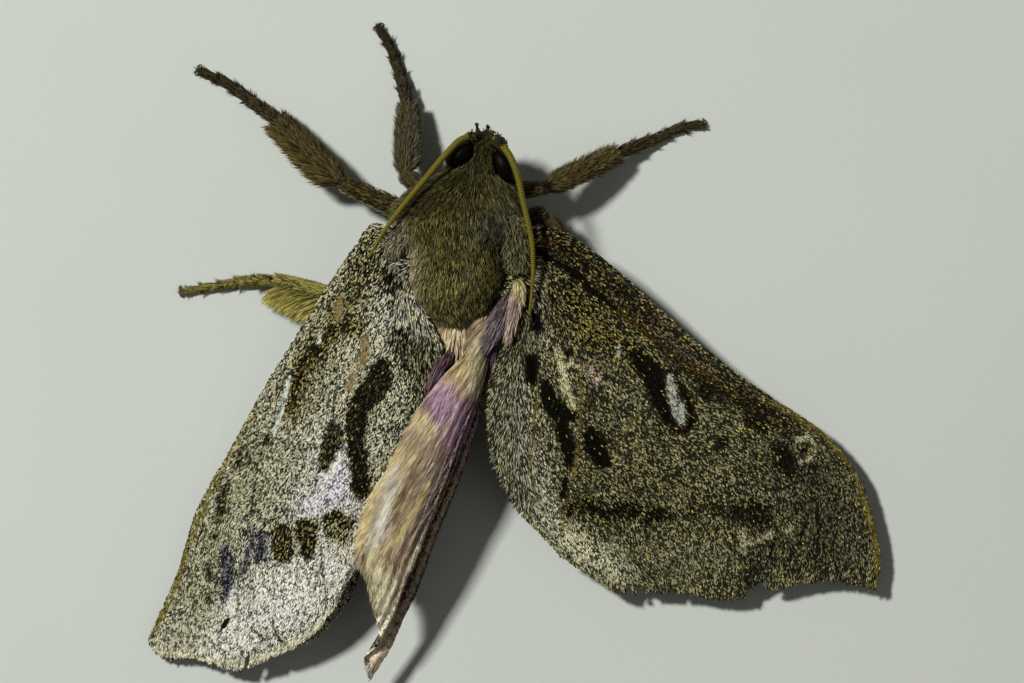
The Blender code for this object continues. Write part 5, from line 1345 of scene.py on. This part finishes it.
# Strands of one tone follow the way that the hair lies
lane = way[:, 0] * root[:, 1] - way[:, 1] * root[:, 0]
down = root[:, 0] * way[:, 0] + root[:, 1] * way[:, 1]
strand = wave(np.stack([lane * 4.0, down * 0.3, s * 0], 1), 1.0, 4.0)
share = np.clip(share + 0.7 * strand + draw.normal(0, 0.34, count), 0, 1)[:, None]
tone = (dark * (1 - share) + light * share) * draw.uniform(0.6, 1.35, (count, 1))
made = blades("hair_hindwing_right", root - facing * 0.05, tip, facing,
              0.08 * draw.uniform(0.7, 1.3, count), tone * 0.8, np.minimum(tone * 1.25, 0.95),
              unwrapped(c, s), bow=0.1)
made.data.materials.append(silky_finish)

# The left one, of which a narrow strip shows, has larger scales, their paint lightened as painted light
surface = membrane(HINDWING_LEFT, 0.3, veined(HIDDEN_VEINS, 0.08, 0.05))
wing_skin("hindwing_left_skin", surface, PAINT_HIDDEN_LIGHTENED, 60, 50, 0.16, scaly_finish, "hindwing_left")
s, c = spread(surface, HIDDEN_SCALES)
root = surface(s, c)
along, over, facing = slopes(surface, s, c)
length = 0.3 * draw.uniform(0.75, 1.3, len(s))
coat = scales("scales_hindwing_left", root, along, facing, length,
              0.22 * draw.uniform(0.75, 1.25, len(s)), length * draw.uniform(0.08, 0.3, len(s)),
              flecked(root, *washed(root[:, :2], PAINT_HIDDEN_LIGHTENED)), unwrapped(c, s))
coat.data.materials.append(dusty_finish)

# Hair of the abdomen. Long soft hair, peach where it shows beside the thorax and purple beside the
# left wing, lying to the rear over the rose hide. The rest of it is shorter and browner.
ABDOMEN_HAIRS, FRONT_HAIRS, FRONT_END = 9500, 2900, 0.3
ABDOMEN_TONE = (150, 122, 88)
# Round patches: middle on the plan, radius and colour
ABDOMEN_SPOTS = [
    ((-5.9, 1.3), 1.9, (255, 238, 186)), ((-4.2, 0.9), 1.0, (226, 190, 156)),
    ((-7.2, -1.5), 1.5, (80, 54, 74)), ((-7.3, 0.2), 0.8, (150, 112, 92)),
]
count = ABDOMEN_HAIRS
t = np.concatenate([draw.uniform(0.0, FRONT_END, FRONT_HAIRS),
                    draw.uniform(FRONT_END, 0.98, count - FRONT_HAIRS)])
turn = either(0.6, (-0.15, 1.15), (1.0, 2.0), count) * math.pi
where = abdomen_side(t, turn)
length = np.interp(t, (0, 0.25, 0.45, 1), (2.3, 2.0, 1.2, 1.0)) * draw.uniform(0.6, 1.2, count)
tip_tint = spotted(np.tile(paint(*ABDOMEN_TONE), (count, 1)), where, ABDOMEN_SPOTS, 0.9)
tip_tint = tip_tint * (0.9 + 0.4 * wave(where * (3, 0.6, 1), 1.0, 7.0))[:, None]
tip_tint = tip_tint * draw.uniform(0.6, 1.25, (count, 1))
rise = (0.3 + 0.25 * t) * draw.uniform(0.3, 1.3, count)
made = hairs("hair_abdomen", abdomen_side, t, turn, length, rise, draw.normal(0.05, 0.14, count),
             0.13 * draw.uniform(0.7, 1.3, count), tip_tint * 0.6, tip_tint * 1.15, depth=0.2, bow=0.1)
made.data.materials.append(silky_finish)

# Tufts at the wing roots. Bundles of long hair, mauve, purple, pink and cream, lie where the right
# wings join the thorax, and a shorter mat covers the root of each forewing.
# Each is its path with radii, its count, dark and light tone, and length
TUFTS = {
    "mauve": (
        [(-0.5, 5.2, 8.9, 0.35), (-1.1, 3.5, 9.3, 0.75), (-2.0, 1.7, 9.5, 0.75),
         (-2.9, 0.0, 9.4, 0.4)], 1100, (46, 36, 38), (150, 126, 130), 1.3),
    "purple": (
        [(-5.7, 0.3, 8.6, 0.3), (-6.3, -0.7, 9.5, 0.45), (-7.1, -2.0, 10.1, 0.45),
         (-7.7, -3.2, 10.0, 0.2)], 600, (42, 28, 36), (142, 106, 112), 1.2),
    "thread": (
        [(-1.9, 0.9, 9.0, 0.3), (-2.1, -0.8, 8.6, 0.3), (-2.2, -2.8, 8.3, 0.2)],
        160, (48, 34, 44), (126, 98, 122), 1.3),
    "pink": (
        [(0.1, 6.2, 9.2, 0.3), (0.1, 4.9, 9.5, 0.5), (-0.3, 3.0, 9.6, 0.5), (-0.8, 0.9, 9.4, 0.3)],
        750, (112, 86, 78), (232, 210, 184), 1.3),
    "cream": (
        [(0.1, 6.5, 9.4, 0.25), (0.3, 5.6, 9.7, 0.55), (0.35, 4.3, 9.6, 0.35)],
        400, (150, 128, 62), (250, 238, 176), 0.9),
    "shoulder_right": (
        [(-0.3, 12.2, 9.2, 0.6), (-0.05, 10.4, 9.5, 1.05), (0.0, 8.4, 9.5, 1.1), (0.1, 6.4, 9.4, 0.6)],
        1900, (20, 18, 11), (140, 134, 84), 0.62),
    "shoulder_left": (
        [(-9.2, 11.7, 9.0, 0.7), (-10.1, 10.4, 8.9, 1.0), (-10.8, 9.2, 8.6, 0.9),
         (-11.2, 8.3, 8.2, 0.5)], 1300, (30, 27, 18), (176, 168, 128), 0.7),
}
TUFT_RINGS, TUFT_WIDTH = ((0.35, 1.0), (0.75, 0.75)), 0.085
for name, (points, count, low, high, long) in TUFTS.items():
    path = curve(points)
    total = np.linalg.norm(np.diff(np.array(points)[:, :3], axis=0), axis=1).sum()
    t = draw.uniform(0, 0.85, count)
    angle, out = draw.uniform(0, 2 * math.pi, count), np.sqrt(draw.random(count))
    run = unit(path(t + 0.05)[:, :3] - path(t)[:, :3])
    side = unit(np.cross(run, (0.0, 0.0, 1.0)))
    # A bundle is half as thick as it is wide
    offset = side * (np.cos(angle) * out)[:, None]
    offset = offset + np.cross(side, run) * (np.sin(angle) * out)[:, None] * 0.5
    step = long * draw.uniform(0.6, 1.3, count)
    here, there = path(t), path(np.minimum(t + step / total, 1.0))
    mess = 0.17 if name.startswith("shoulder") else 0.07
    end = there[:, :3] + offset * there[:, 3:] * 1.25 + draw.normal(0, mess, (count, 3))
    end += run * (step - np.linalg.norm(there[:, :3] - here[:, :3], axis=1))[:, None] * 0.8
    tone = draw.random(count)[:, None]
    tone = (paint(*low) * (1 - tone) + paint(*high) * tone) * draw.uniform(0.6, 1.2, (count, 1))
    made = blades("hair_tuft_" + name, here[:, :3] + offset * here[:, 3:], end, upward(count),
                  TUFT_WIDTH * draw.uniform(0.7, 1.3, count), tone * 0.4, tone, unwrapped(t, out),
                  TUFT_RINGS, 0.08)
    made.data.materials.append(silky_finish)
